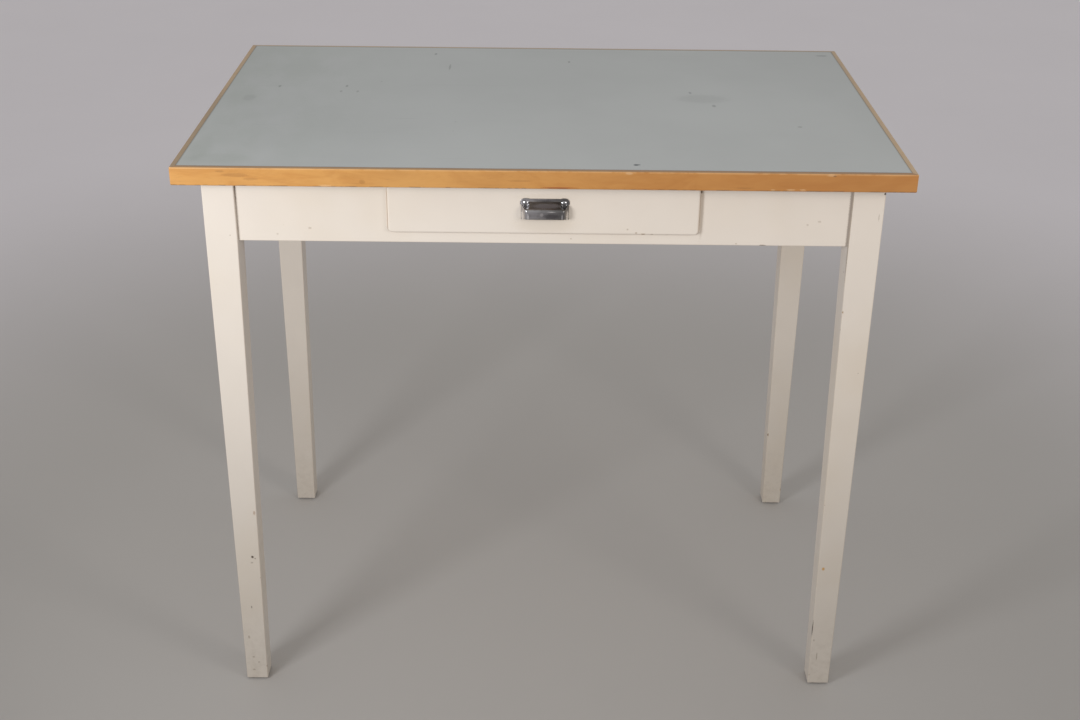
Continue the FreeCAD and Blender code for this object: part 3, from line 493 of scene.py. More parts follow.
@dataclass(frozen=True)
class Enamel(Finish):
    """Cream enamel, brushed on by hand and satin with age."""

    axis: Axis
    marks: tuple[Mark, ...] = ()
    cream: Colour = srgb(230, 220, 208)
    aged: Colour = srgb(217, 201, 177)
    primer: Colour = srgb(176, 150, 118)
    bare_wood: Colour = srgb(112, 80, 50)
    foot_dirt: Colour = srgb(150, 134, 114)
    dirt: Colour = srgb(122, 104, 84)
    grit: Colour = srgb(140, 122, 100)

    def arris(self, sheet: Sheet) -> Field:
        """Distance to the nearest arris of the piece."""
        raise NotImplementedError

    def inside(self, sheet: Sheet) -> Optional[Field]:
        """Mask of the faces that were left unpainted, or None if there are none."""
        return None

    def shade(self, sheet: Sheet) -> None:
        """Write brushed enamel, worn through along the arrises, with painted shade towards the
        floor.
        """
        brush = sheet.noise(1.0, self.axis.stretch(9.0, 620.0), detail=2.0, roughness=0.6)
        peel = sheet.noise(340.0, detail=1.0, seed=7.0)
        cloud = sheet.noise(4.5, detail=3.0, roughness=0.6, seed=1.0)
        patch = sheet.noise(21.0, detail=2.0, seed=9.0)
        colour = sheet.blend(sheet.fade(cloud, 0.42, 0.78) * 0.34, self.cream, self.aged)
        colour = sheet.tint(colour, 0.975 + patch * 0.05)
        edge = self.arris(sheet)
        ragged = sheet.noise(95.0, detail=3.0, roughness=0.7, seed=2.0)
        rubbed = sheet.fade(edge + ragged * 2.4 * MM, 2.6 * MM, 1.0 * MM)
        colour = sheet.blend(rubbed * 0.42, colour, self.aged)
        bite = sheet.noise(58.0, detail=2.0, roughness=0.6, seed=6.6)
        chip = sheet.fade(edge, 2.4 * MM, 1.4 * MM) * sheet.fade(bite, 0.70, 0.735)
        core = sheet.fade(edge, 1.7 * MM, 1.0 * MM) * sheet.fade(bite, 0.735, 0.765)
        colour = sheet.blend(chip * 0.8, colour, self.primer)
        colour = sheet.blend(core * 0.9, colour, self.bare_wood)
        foot = sheet.fade(sheet.axes[2], 0.16, 0.0) * sheet.fade(ragged, 0.35, 0.8)
        colour = sheet.blend(foot * 0.20, colour, self.foot_dirt)
        # Painted shade: the enamel is made up to 12 % darker towards the floor.
        colour = sheet.tint(colour, 1.0 - sheet.fade(sheet.axes[2], 0.50, 0.0) * 0.12)
        dirt = sheet.specks(34.0, 0.075, 0.10)
        grit = sheet.specks(90.0, 0.09, 0.05, seed=4.0)
        colour = sheet.blend(dirt * 0.55, colour, self.dirt)
        colour = sheet.blend(grit * 0.4, colour, self.grit)
        relief = brush * 0.55 + peel * 0.3 - chip * 2.2 + 1.0
        roughness = 0.36 + (cloud - 0.5) * 0.14 + chip * 0.3 + rubbed * 0.08
        bare = self.inside(sheet)
        if bare is not None:
            timber, fibres = replace(BARE_FACE, axis=self.axis).wood(sheet)
            bare = sheet.fade(bare + (ragged - 0.5) * 0.9, 0.45, 0.6)
            colour = sheet.blend(bare, colour, timber)
            relief = relief * (1.0 - bare) + fibres * bare * 2.0
            roughness = roughness + bare * 0.3
        sheet.dress(sheet.marks(colour, self.marks), roughness, relief, 0.035 * MM)


@dataclass(frozen=True, kw_only=True)
class BoardEnamel(Enamel):
    """Enamel on a straight board, whose inner face is bare."""

    low: Triple
    high: Triple
    face_axis: Axis = Axis.Y
    face_sign: int = 1

    def arris(self, sheet: Sheet) -> Field:
        """Distance to the nearest edge of the board's box."""
        first, second, third = (
            sheet.least(along - low, high - along)
            for along, low, high in zip(sheet.axes, self.low, self.high)
        )
        shorter, longer = sheet.least(first, second), sheet.most(first, second)
        return sheet.most(shorter, sheet.least(longer, third))

    def inside(self, sheet: Sheet) -> Field:
        """Mask of the board's inner face."""
        inner = self.high if self.face_sign > 0 else self.low
        depth = (inner[self.face_axis.value] - sheet.axes[self.face_axis.value]) * self.face_sign
        return sheet.fade(depth, 3.5 * MM, 0.5 * MM)


@dataclass(frozen=True, kw_only=True)
class LegEnamel(Enamel):
    """Enamel on a leg that tapers on its two inner faces."""

    outer_x: float
    outer_y: float
    knee_z: float
    wide: float
    narrow: float = 30 * MM

    def arris(self, sheet: Sheet) -> Field:
        """Distance to the nearest of the leg's four long arrises."""
        x, y, z = sheet.axes
        width = sheet.least(z / self.knee_z, 1.0) * (self.wide - self.narrow) + self.narrow
        across_x = sheet.math("ABSOLUTE", x - self.outer_x)
        across_y = sheet.math("ABSOLUTE", y - self.outer_y)
        gap_x = sheet.least(across_x, width - across_x)
        gap_y = sheet.least(across_y, width - across_y)
        return sheet.most(gap_x, gap_y)


@dataclass(frozen=True)
class Laminate(Finish):
    """Grey-green decorative laminate, dulled by wiping."""

    half_x: float
    half_y: float
    top_z: float
    marks: tuple[Mark, ...] = ()
    pale: Colour = srgb(198, 201, 200)
    deep: Colour = srgb(190, 193, 192)
    sage: Colour = srgb(158, 168, 156)
    rim_grime: Colour = srgb(112, 104, 90)
    speck: Colour = srgb(104, 108, 106)

    def shade(self, sheet: Sheet) -> None:
        """Write the laminate with its clouds, wipe marks and scratches."""
        cloud = sheet.noise(2.6, detail=4.0, roughness=0.55, seed=3.0)
        mist = sheet.noise(17.0, (1.0, 0.5, 1.0), detail=3.0, roughness=0.6)
        grain = sheet.noise(420.0, detail=1.0, seed=1.0)
        colour = sheet.blend(sheet.fade(cloud, 0.3, 0.7), self.deep, self.pale)
        colour = sheet.tint(colour, 0.965 + mist * 0.05 + grain * 0.02)
        left = sheet.fade(sheet.axes[0], -self.half_x + 0.30, -self.half_x)
        colour = sheet.blend(left * sheet.fade(mist, 0.25, 0.70) * 0.26, colour, self.sage)
        rim_x = self.half_x - sheet.math("ABSOLUTE", sheet.axes[0])
        rim_y = self.half_y - sheet.math("ABSOLUTE", sheet.axes[1])
        rim = sheet.fade(sheet.least(rim_x, rim_y) + mist * 2 * MM, 3.4 * MM, 0.6 * MM)
        colour = sheet.blend(rim * 0.62, colour, self.rim_grime)
        colour = sheet.blend(sheet.specks(26.0, 0.05, 0.10) * 0.4, colour, self.speck)
        scratch = sheet.noise(5.0, (1.0, 46.0, 1.0), detail=2.0, distortion=1.2, seed=6.0)
        lines = sheet.fade(scratch, 0.69, 0.72)
        colour = sheet.tint(colour, 1.0 - lines * 0.03)
        gloss = 0.47 + (mist - 0.5) * 0.16 + (cloud - 0.5) * 0.12 + lines * 0.1
        sheet.dress(sheet.marks(colour, self.marks), gloss, grain * 0.5 + mist * 0.5, 0.02 * MM)


@dataclass(frozen=True)
class Chrome(Finish):
    """Old chrome plating, hazed and finely scratched, with a painted dark reflection towards its
    right end.
    """

    marks: tuple[Mark, ...] = ()
    bright: Colour = (0.50, 0.49, 0.50, 1.0)
    haze: Colour = (0.22, 0.21, 0.21, 1.0)
    pit: Colour = (0.10, 0.08, 0.07, 1.0)
    painted_dark_side: Colour = (0.13, 0.125, 0.12, 1.0)
    gloss: float = 0.28
    painted_dark_share: float = 0.82

    def shade(self, sheet: Sheet) -> None:
        """Write the plating with its haze, scratches and pits, and the painted dark reflection."""
        haze = sheet.noise(120.0, detail=3.0, roughness=0.6)
        colour = sheet.blend(sheet.fade(haze, 0.45, 0.75) * 0.6, self.bright, self.haze)
        pits = sheet.specks(900.0, 0.16, 0.10)
        colour = sheet.blend(pits * 0.7, colour, self.pit)
        scratch = sheet.noise(140.0, (1.0, 1.0, 16.0), detail=2.0, distortion=0.8, seed=2.0)
        lines = sheet.fade(scratch, 0.62, 0.68)
        # Painted reflection: the plating is made darker towards the right, where it reflects less
        # light.
        painted_dark_side = sheet.fade(sheet.axes[0] + haze * 6 * MM, -26 * MM, 30 * MM)
        colour = sheet.blend(painted_dark_side * self.painted_dark_share, colour, self.painted_dark_side)
        gloss = self.gloss + sheet.fade(haze, 0.4, 0.8) * 0.10 + lines * 0.10 + pits * 0.2
        sheet.dress(sheet.marks(colour, self.marks), gloss, haze + pits * -0.6 + 1.0, 0.006 * MM)
        sheet.set("Metallic", 1.0)


@dataclass(frozen=True)
class Steel(Finish):
    """Dull zinc-plated steel with a little rust."""

    bright: Colour = srgb(158, 156, 150)
    dull: Colour = srgb(98, 94, 88)
    rust: Colour = srgb(104, 66, 40)

    def shade(self, sheet: Sheet) -> None:
        """Write the plating and its rust."""
        cloud = sheet.noise(260.0, detail=3.0)
        stain = sheet.noise(90.0, detail=3.0, roughness=0.7, seed=5.0)
        colour = sheet.blend(cloud, self.dull, self.bright)
        rusty = sheet.fade(stain, 0.58, 0.72)
        colour = sheet.blend(rusty * 0.75, colour, self.rust)
        sheet.dress(colour, 0.42 + cloud * 0.2 + rusty * 0.25, cloud + stain, 0.03 * MM)
        sheet.set("Metallic", 1.0 - rusty * 0.85)


# ---- mesh helpers
def deselect_all() -> None:
    """Leave nothing selected, so that an operator acts only on what comes next."""
    if bpy.context.object is not None and bpy.context.object.mode != "OBJECT":
        bpy.ops.object.mode_set(mode="OBJECT")
    bpy.ops.object.select_all(action="DESELECT")


def smooth_step(value: float) -> float:
    """Ease from 0 to 1, held outside that range."""
    held = max(0.0, min(1.0, value))
    return held * held * (3.0 - 2.0 * held)


def soft_least(first: float, second: float, blend: float) -> float:
    """Smaller of two lengths, rounded over where they cross."""
    overlap = max(blend - abs(first - second), 0.0) / blend
    return min(first, second) - overlap * overlap * blend / 4


def soft_most(first: float, second: float, blend: float) -> float:
    """Larger of two lengths, rounded over where they cross."""
    return -soft_least(-first, -second, blend)


# ---- sub-assemblies
@dataclass
class CupPull:
    """Pressed cup pull: one sheet drawn into a hood between two scooped ears."""

    body: str = "drawer"
    screw_half: float = 23.6 * MM
    ear: float = 6.8 * MM
    ear_squareness: float = 2.5
    flange: float = 6.1 * MM
    scoop: float = 3.7 * MM
    shoulder: float = -1.4 * MM
    bend: float = 3.3 * MM
    crease: float = -5.6 * MM
    front_half: float = 24.4 * MM
    back_half: float = 29.5 * MM
    depth: float = 12.0 * MM
    front_rim: float = -17.3 * MM
    back_rim: float = -21.2 * MM
    sheet: float = 1.0 * MM
    rim_roll: float = 1.6 * MM
    slope_blend: float = 3.4 * MM
    flank_blend: float = 6.0 * MM
    scoop_blend: float = 1.8 * MM
    plate_blend: float = 1.6 * MM
    ring_blend: float = 1.2 * MM
    ear_blend: float = 0.8 * MM
    scoop_steepness: float = 7.0
    seat_depth: float = 0.35 * MM
    seat_radius: float = 3.75 * MM
    seat_ease: float = 0.5 * MM
    roll_depth: float = 0.7 * MM
    edge_depth: float = 0.4 * MM
    edge_width: float = 0.9 * MM
    ear_level: float = 0.965
    ear_ease: float = 0.045
    crisp_angle: float = 50.0
    columns: int = 200
    rows: int = 120
    centre: Vector = field(init=False)

    def __post_init__(self) -> None:
        """Take the pull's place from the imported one."""
        low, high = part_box("drawer_pull")
        self.centre = Vector(((low.x + high.x) / 2, high.y, high.z - self.ear))

    def _scoop_distance(self, across: float, above: float) -> float:
        """Distance from the scoop round a screw, below 0 inside it."""
        away = abs(across) - self.screw_half
        ring = math.hypot(away, above) - self.scoop
        beside = max(-away, self.shoulder - above)
        return soft_least(ring, beside, self.ring_blend)

    def _depth(self, across: float, above: float) -> float:
        """Depth of the sheet's outer surface in front of the drawer.

        Args:
            across: Distance to the right of the pull's middle.
            above: Height above the screws.

        Returns:
            Distance out of the drawer front.
        """
        slope = self.depth * (self.bend - above) / (self.bend - self.crease)
        flank = self.depth * (self.back_half - abs(across)) / (self.back_half - self.front_half)
        hood = soft_least(slope, self.depth, self.slope_blend)
        hood = soft_least(hood, flank, self.flank_blend)
        from_scoop = max(self._scoop_distance(across, above), 0.0)
        hood = soft_least(hood, self.sheet + self.scoop_steepness * from_scoop, self.scoop_blend)
        depth = soft_most(hood, self.sheet, self.plate_blend)
        inside_seat = self.seat_radius - math.hypot(abs(across) - self.screw_half, above)
        return depth - self.seat_depth * smooth_step(inside_seat / self.seat_ease)

    def _place(self, u: float, v: float) -> Vector:
        """Place of one point of the sheet.

        Args:
            u: From -1 at the left end to 1 at the right end.
            v: From 0 at the lower rim to 1 at the upper rim.

        Returns:
            The point in the table's frame.
        """
        reach = self.screw_half + self.ear
        from_ear = min(abs(abs(u) * reach - self.screw_half) / self.ear, 1.0)
        ear_top = self.ear * (1.0 - from_ear**self.ear_squareness) ** (1 / self.ear_squareness)
        on_strip = abs(u) * reach < self.screw_half
        top = soft_most(ear_top, self.flange, self.ear_blend) if on_strip else ear_top
        corner = (abs(u) * self.back_half - self.front_half) / (self.back_half - self.front_half)
        low = self.front_rim + (self.back_rim - self.front_rim) * max(corner, 0.0)
        above = low + v * (top - low)
        pinch = smooth_step((self.ear_level - v) / self.ear_ease)
        across = u * (reach + (self.back_half - reach) * pinch)
        roll = self.roll_depth * self._rounding((above - low) / self.rim_roll)
        from_edge = min(top - above, (1.0 - abs(u)) * reach)
        ease = self.edge_depth * self._rounding(from_edge / self.edge_width)
        depth = self._depth(across, above) - max(roll, ease)
        return self.centre + Vector((across, -depth, above))

    @staticmethod
    def _rounding(share: float) -> float:
        """Fall of a quarter round, from 1 at its edge to 0 where it meets the face."""
        inward = 1.0 - max(0.0, min(share, 1.0))
        return 1.0 - math.sqrt(1.0 - inward * inward)

    def build(self) -> bpy.types.Object:
        """Model the pull, riding on the drawer."""
        deselect_all()
        bpy.ops.mesh.primitive_grid_add(
            x_subdivisions=self.columns, y_subdivisions=self.rows, size=2.0, location=(0, 0, 0)
        )
        pull = bpy.context.object
        pull.name = "pressed_pull"
        for vertex in pull.data.vertices:
            vertex.co = self._place(vertex.co.x, (vertex.co.y + 1.0) / 2.0)
        bpy.ops.object.mode_set(mode="EDIT")
        bpy.ops.mesh.select_all(action="SELECT")
        bpy.ops.mesh.normals_make_consistent(inside=False)
        bpy.ops.object.mode_set(mode="OBJECT")
        wall = pull.modifiers.new("sheet", "SOLIDIFY")
        wall.thickness = self.sheet
        wall.offset = -1.0
        bpy.ops.object.modifier_apply(modifier=wall.name)
        for vertex in pull.data.vertices:
            vertex.co.y = min(vertex.co.y, self.centre.y)
        bpy.ops.object.shade_smooth_by_angle(angle=math.radians(self.crisp_angle))
        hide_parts("drawer_pull")
        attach(pull, self.body)
        return pull


@dataclass
class Tabletop:
    """Core, laminate and four mitred lippings."""

    lipping: float = 7 * MM
    honey: Colour = srgb(216, 158, 86)
    amber: Colour = srgb(190, 128, 60)

    def _lipping_finish(self, name: str, axis: Axis, heart: Triple, dust_and_shade: Colour) -> Lipping:
        """Finish of one lipping.

        Args:
            name: Node of the lipping.
            axis: Direction in which it lies.
            heart: Middle of the growth rings.
            dust_and_shade: Colour laid on its top face, for dust and for painted shade.
        """
        low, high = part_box(name)
        _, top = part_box("top_laminate")
        inner = top.y if axis is Axis.X else top.x
        soil = Mark((low.x, -0.19, high.z), (16 * MM, 0.26, 4 * MM), srgb(122, 104, 84), 0.42)
        marks = {"lipping_front": self._lipping_marks(low.y), "lipping_left": (soil,)}
        return Lipping(
            f"varnish_{name}",
            axis,
            self.honey,
            self.amber,
            heart,
            ring=3.4 * MM,
            contrast=0.30,
            gloss=0.34,
            marks=marks.get(name, ()),
            low_z=low.z,
            high_z=high.z,
            inner=inner,
            outer=inner + self.lipping,
            dust_and_shade=dust_and_shade,
        )

    @staticmethod
    def _lipping_marks(face: float) -> tuple[Mark, ...]:
        """Smudges, chips and a crack along the front lipping."""
        smudge, pale, crack = srgb(150, 102, 52), srgb(238, 205, 160), srgb(150, 74, 38)
        rows = [
            (-0.371, 0.776, 17.0, 3.0, smudge, 0.34),
            (-0.389, 0.7805, 6.0, 1.5, smudge, 0.38),
            (-0.353, 0.7712, 10.0, 2.0, smudge, 0.30),
            (-0.2186, 0.7689, 4.0, 3.0, smudge, 0.35),
            (-0.029, 0.7722, 16.0, 1.2, smudge, 0.3),
            (0.102, 0.7830, 5.0, 1.8, pale, 0.32),
            (0.345, 0.7832, 6.0, 1.8, pale, 0.28),
            (0.349, 0.7822, 2.2, 1.2, srgb(88, 58, 34), 0.5),
            (0.2976, 0.7644, 6.0, 1.0, pale, 0.38),
            (0.312, 0.7645, 4.0, 1.0, pale, 0.38),
            (0.2759, 0.7641, 3.0, 1.0, pale, 0.32),
            (-0.2632, 0.7640, 9.0, 1.0, pale, 0.34),
            (0.018, 0.7640, 22.0, 0.7, crack, 0.85),
            (0.2418, 0.7660, 12.0, 1.2, smudge, 0.35),
        ]
        return marks_on_front(face, 4 * MM, rows)

    @staticmethod
    def _laminate_marks(top_z: float) -> tuple[Mark, ...]:
        """Stains, specks and a streak on the laminate."""
        dark, grey, sage = srgb(58, 66, 72), srgb(122, 126, 124), srgb(132, 142, 126)
        rows = [  # X, Y, reach along X and Y in mm, colour, strength
            (0.1116, -0.2639, 3.5, 3.0, dark, 0.9),
            (0.1150, -0.2630, 2.5, 2.0, dark, 0.7),
            (-0.1386, 0.1729, 1.6, 17.0, grey, 0.5),
            (0.2188, 0.0206, 40.0, 22.0, grey, 0.15),
            (0.2321, -0.0124, 3.0, 6.0, dark, 0.35),
            (0.2048, 0.0496, 2.2, 5.5, dark, 0.35),
            (-0.164, 0.2461, 2.2, 6.0, dark, 0.4),
            (0.0376, 0.2081, 1.8, 5.5, dark, 0.4),
            (-0.372, 0.063, 2.2, 5.5, grey, 0.6),
            (-0.278, 0.0666, 2.2, 5.5, grey, 0.6),
            (-0.283, 0.040, 2.0, 5.0, grey, 0.4),
            (-0.260, 0.040, 2.0, 5.0, grey, 0.4),
            (0.3354, -0.1036, 3.5, 3.5, grey, 0.4),
            (0.424, 0.2589, 10.0, 4.0, dark, 0.35),
            (-0.4009, -0.2541, 45.0, 20.0, sage, 0.10),
            (-0.425, -0.215, 16.0, 50.0, sage, 0.10),
            (-0.405, 0.005, 10.0, 16.0, grey, 0.18),
        ]
        return tuple(
            Mark((x, y, top_z), (wide * MM, deep * MM, 4 * MM), colour, strength)
            for x, y, wide, deep, colour, strength in rows
        )

    def dress(self) -> None:
        """Give the tabletop's pieces their finishes."""
        _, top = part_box("top_laminate")
        laminate = Laminate("laminate", top.x, top.y, top.z, self._laminate_marks(top.z))
        paint("top_laminate", laminate)
        veneer = Timber(
            "core_veneer",
            Axis.X,
            srgb(160, 148, 134),
            srgb(132, 118, 102),
            (0.0, 0.05, 0.66),
            ring=5.5 * MM,
            contrast=0.4,
            gloss=0.7,
        )
        paint("top_core", veneer)
        lippings = {
            "lipping_front": (Axis.X, (0.0, -0.34, 0.74), srgb(158, 130, 102)),
            "lipping_back": (Axis.X, (0.0, 0.35, 0.73), srgb(192, 186, 172)),
            "lipping_left": (Axis.Y, (-0.50, 0.0, 0.75), srgb(198, 180, 150)),
            "lipping_right": (Axis.Y, (0.51, 0.0, 0.735), srgb(200, 184, 156)),
        }
        for name, (axis, heart, dust_and_shade) in lippings.items():
            paint(name, self._lipping_finish(name, axis, heart, dust_and_shade))


@dataclass
class Underframe:
    """Legs, glides, aprons, and what holds the frame and the top together."""

    corners: tuple[str, ...] = ("front_left", "front_right", "back_left", "back_right")

    @staticmethod
    def _leg_marks(face: float) -> tuple[Mark, ...]:
        """Dots, chips and a hairline on the front legs' front faces, and painted shade at the
        right leg's top corner and along its joint to the apron.
        """
        dark, grey = srgb(74, 56, 42), srgb(142, 126, 106)
        wood, hair = srgb(172, 142, 116), srgb(60, 50, 42)
        rows = [
            (-0.3970, 0.2105, 2.0, 2.2, dark, 0.95),
            (-0.3935, 0.2080, 1.2, 1.4, grey, 0.7),
            (-0.3985, 0.2010, 2.0, 1.4, grey, 0.5),
            (-0.4045, 0.1263, 1.1, 2.4, dark, 0.6),
            (-0.4120, 0.0743, 1.6, 3.0, grey, 0.5),
            (-0.4080, 0.0395, 1.8, 1.8, grey, 0.5),
            (-0.4010, 0.0304, 1.6, 1.4, grey, 0.45),
            (-0.4090, 0.0170, 2.2, 1.6, grey, 0.5),
            (-0.3893, 0.2821, 1.8, 3.4, wood, 0.6),
            (0.3945, 0.1997, 2.2, 2.8, srgb(208, 160, 88), 0.9),
            (0.3889, 0.0980, 0.6, 15.0, hair, 0.8),
            (0.3925, 0.0780, 1.4, 2.0, grey, 0.4),
            (0.3990, 0.0500, 0.8, 8.0, grey, 0.6),
            (0.4142, 0.7198, 0.6, 5.5, grey, 0.5),
            (-0.3890, 0.0130, 1.0, 4.0, grey, 0.5),
            # Painted shade at the right leg's top outer corner and along its joint to the apron.
            (0.4190, 0.7505, 1.8, 1.8, dark, 0.9),
            (0.3801, 0.7250, 0.8, 200.0, grey, 0.60),
        ]
        return marks_on_front(face, 5 * MM, rows)

    @staticmethod
    def _apron_marks(face: float) -> tuple[Mark, ...]:
        """Rubs on the front apron, nicks along its lower arris, painted shade in its joints to the
        legs and at the drawer's top right corner, and a painted shadow right of the drawer.
        """
        dark, grey = srgb(110, 88, 66), srgb(168, 150, 128)
        rows = [
            (0.3421, 0.7118, 2.6, 1.5, grey, 0.4),
            (0.3277, 0.7074, 1.6, 1.4, grey, 0.4),
            (-0.2898, 0.6966, 2.2, 1.6, grey, 0.45),
            (-0.3307, 0.6884, 1.8, 1.4, grey, 0.35),
            (0.2740, 0.6795, 4.6, 1.2, dark, 0.75),
            (0.2407, 0.6814, 1.6, 1.0, grey, 0.5),
            (0.0347, 0.6858, 1.6, 1.0, grey, 0.45),
            # Painted shade in the joints to the legs, darkest at the top of the left one.
            (0.3795, 0.7200, 2.6, 200.0, dark, 0.42),
            (-0.3800, 0.7200, 1.2, 200.0, dark, 0.30),
            (-0.3797, 0.7495, 1.2, 3.6, dark, 0.95),
            (-0.3797, 0.7400, 1.0, 10.0, dark, 0.55),
            # Painted shade at the drawer's top right corner, and a painted shadow to the right of
            # the drawer.
            (0.1940, 0.7492, 1.6, 2.0, dark, 0.95),
            (0.1955, 0.7250, 2.6, 40.0, grey, 0.35),
        ]
        return marks_on_front(face, 5 * MM, rows)

    def dress(self) -> None:
        """Give the frame's pieces their finishes."""
        self._dress_legs()
        self._dress_aprons()
        self._dress_hidden()

    def _dress_legs(self) -> None:
        """Enamel the legs and leave the glides as dull steel."""
        apron_low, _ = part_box("apron_left")
        for corner in self.corners:
            low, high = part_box(f"leg_{corner}")
            finish = LegEnamel(
                f"enamel_leg_{corner}",
                Axis.Z,
                marks=self._leg_marks(low.y) if corner.startswith("front") else (),
                outer_x=low.x if low.x < 0 else high.x,
                outer_y=low.y if low.y < 0 else high.y,
                knee_z=apron_low.z,
                wide=high.x - low.x,
            )
            paint(f"leg_{corner}", finish)
            paint(f"foot_glide_{corner}", Steel(f"glide_{corner}"))

    def _dress_aprons(self) -> None:
        """Enamel the aprons, with their inner faces left bare."""
        inner_faces = {
            "apron_front": (Axis.X, Axis.Y, 1),
            "apron_back": (Axis.X, Axis.Y, -1),
            "apron_left": (Axis.Y, Axis.X, 1),
            "apron_right": (Axis.Y, Axis.X, -1),
        }
        for name, (axis, face_axis, sign) in inner_faces.items():
            low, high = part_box(name)
            finish = BoardEnamel(
                f"enamel_{name}",
                axis,
                marks=self._apron_marks(low.y) if name == "apron_front" else (),
                low=tuple(low),
                high=tuple(high),
                face_axis=face_axis,
                face_sign=sign,
            )
            paint(name, finish)

    def _dress_hidden(self) -> None:
        """Give the pieces under the top their bare wood and steel."""
        pale, brown = srgb(212, 180, 130), srgb(168, 122, 72)
        for corner in self.corners:
            node = f"corner_block_{corner}"
            low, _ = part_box(node)
            heart = (low.x * 1.2, low.y * 1.3, 0.0)
            paint(node, Timber(f"block_{corner}", Axis.Z, pale, brown, heart))
        for side in ("left", "right"):
            for part in ("guide", "runner", "drawer_stop"):
                low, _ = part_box(f"{part}_{side}")
                heart = (low.x + 60 * MM, 0.0, low.z - 45 * MM)
                paint(f"{part}_{side}", Timber(f"bare_{part}_{side}", Axis.Y, pale, brown, heart))
        paint("top_buttons", Timber("bare_buttons", Axis.Y, pale, brown, (0.07, 0.0, 0.70)))
        for node in ("corner_block_screws", "top_button_screws", "runner_screws"):
            paint(node, Steel(f"steel_{node}"))


@dataclass
class Drawer:
    """Drawer box with its enamelled front and chrome pull."""

    pull: CupPull = field(default_factory=CupPull)

    @staticmethod
    def _front_marks(face: float) -> tuple[Mark, ...]:
        """Nicks along the lower arris, and the grime that fingers leave round the pull."""
        dark, grey, touch = srgb(104, 84, 64), srgb(170, 152, 130), srgb(206, 190, 168)
        rows = [
            (0.1044, 0.7010, 1.4, 1.2, grey, 0.5),
            (0.1151, 0.6965, 1.6, 1.4, grey, 0.6),
            (0.1348, 0.6942, 2.0, 1.4, grey, 0.6),
            (0.1538, 0.6937, 3.4, 1.4, grey, 0.5),
            (0.0017, 0.7070, 42.0, 14.0, touch, 0.25),
            (0.0017, 0.7420, 38.0, 5.0, touch, 0.20),
        ]
        return marks_on_front(face, 5 * MM, rows)

    def dress(self) -> None:
        """Give the drawer's pieces their finishes."""
        low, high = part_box("drawer_front")
        enamel = BoardEnamel(
            "enamel_drawer_front",
            Axis.X,
            marks=self._front_marks(low.y),
            low=tuple(low),
            high=tuple(high),
        )
        paint("drawer_front", enamel)
        pale, brown = srgb(216, 184, 136), srgb(174, 128, 78)
        for name, axis, heart in (
            ("drawer_side_left", Axis.Y, (-0.24, 0.0, 0.68)),
            ("drawer_side_right", Axis.Y, (0.25, 0.0, 0.66)),
            ("drawer_back", Axis.X, (0.0, 0.26, 0.69)),
        ):
            paint(name, Timber(f"bare_{name}", axis, pale, brown, heart))
        plywood = Timber(
            "drawer_plywood",
            Axis.X,
            srgb(206, 170, 122),
            srgb(180, 138, 90),
            (0.0, -0.04, 0.60),
            ring=7.0 * MM,
            contrast=0.45,
            gloss=0.66,
        )
        paint("drawer_bottom", plywood)
        paint("drawer_bottom_nails", Steel("steel_nails"))
        bright = (0.62, 0.62, 0.64, 1.0)
        paint("pull_screws", Chrome("screw_chrome", bright=bright, gloss=0.16, painted_dark_share=0.0))
        pull = self.pull.build()
        pull.data.materials.append(Chrome("pull_chrome", self._pull_marks()).material())
        log.info("pull: %d faces", len(pull.data.polygons))

    def _pull_marks(self) -> tuple[Mark, ...]:
        """Painted highlights and reflections on the hood, a smudge and a scratch, and a dark line
        in its fold of grime and painted dark reflection.
        """
        face = self.pull.centre.y - self.pull.depth
        fold = self.pull.centre.z + 3.4 * MM
        dull, painted_highlight = (0.78, 0.76, 0.74, 1.0), (0.92, 0.91, 0.91, 1.0)
        painted_reflection, painted_dark_and_grime = (0.66, 0.68, 0.80, 1.0), (0.05, 0.045, 0.05, 1.0)
        rows = [  # X, mm behind the face, Z, reach in mm, colour, strength
            # A dark line in the fold: grime, and painted dark reflection.
            (0.0017, 11, fold, (13, 4, 1.0), painted_dark_and_grime, 0.6),
            # Painted dark reflection under the hood's crease.
            (0.0095, 0, 0.7215, (11.0, 3, 3.4), painted_dark_and_grime, 0.5),
            # Painted reflection on the slope.
            (0.0035, 6, fold - 5 * MM, (19, 5, 3.4), painted_reflection, 0.85),
            # Painted highlights down the front face's corners, and painted reflections on the
            # flanks.
            (-0.0190, 0, 0.7195, (1.3, 3, 6.0), painted_highlight, 0.85),
            (0.0228, 0, 0.7195, (0.7, 3, 6.0), painted_highlight, 0.7),
            (-0.0262, 6, 0.7195, (2.0, 9, 8.0), painted_highlight, 0.8),
            (0.0296, 6, 0.7195, (2.0, 9, 8.0), painted_highlight, 0.8),
            # A smudge and a scratch.
            (-0.0024, 0, 0.7235, (2.4, 3, 2.6), dull, 0.40),
            (0.0093, 0, 0.7272, (5.5, 3, 0.5), dull, 0.9),
        ]
        return tuple(
            Mark((x, face + behind * MM, z), tuple(size * MM for size in reach), colour, strength)
            for x, behind, z, reach, colour, strength in rows
        )


def paint(node: str, finish: Finish) -> None:
    """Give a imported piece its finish."""
    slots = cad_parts[node].data.materials
    material = finish.material()
    if len(slots) == 0:
        slots.append(material)
    for index in range(len(slots)):
        slots[index] = material
    log.info("%s: %s", node, finish.name)


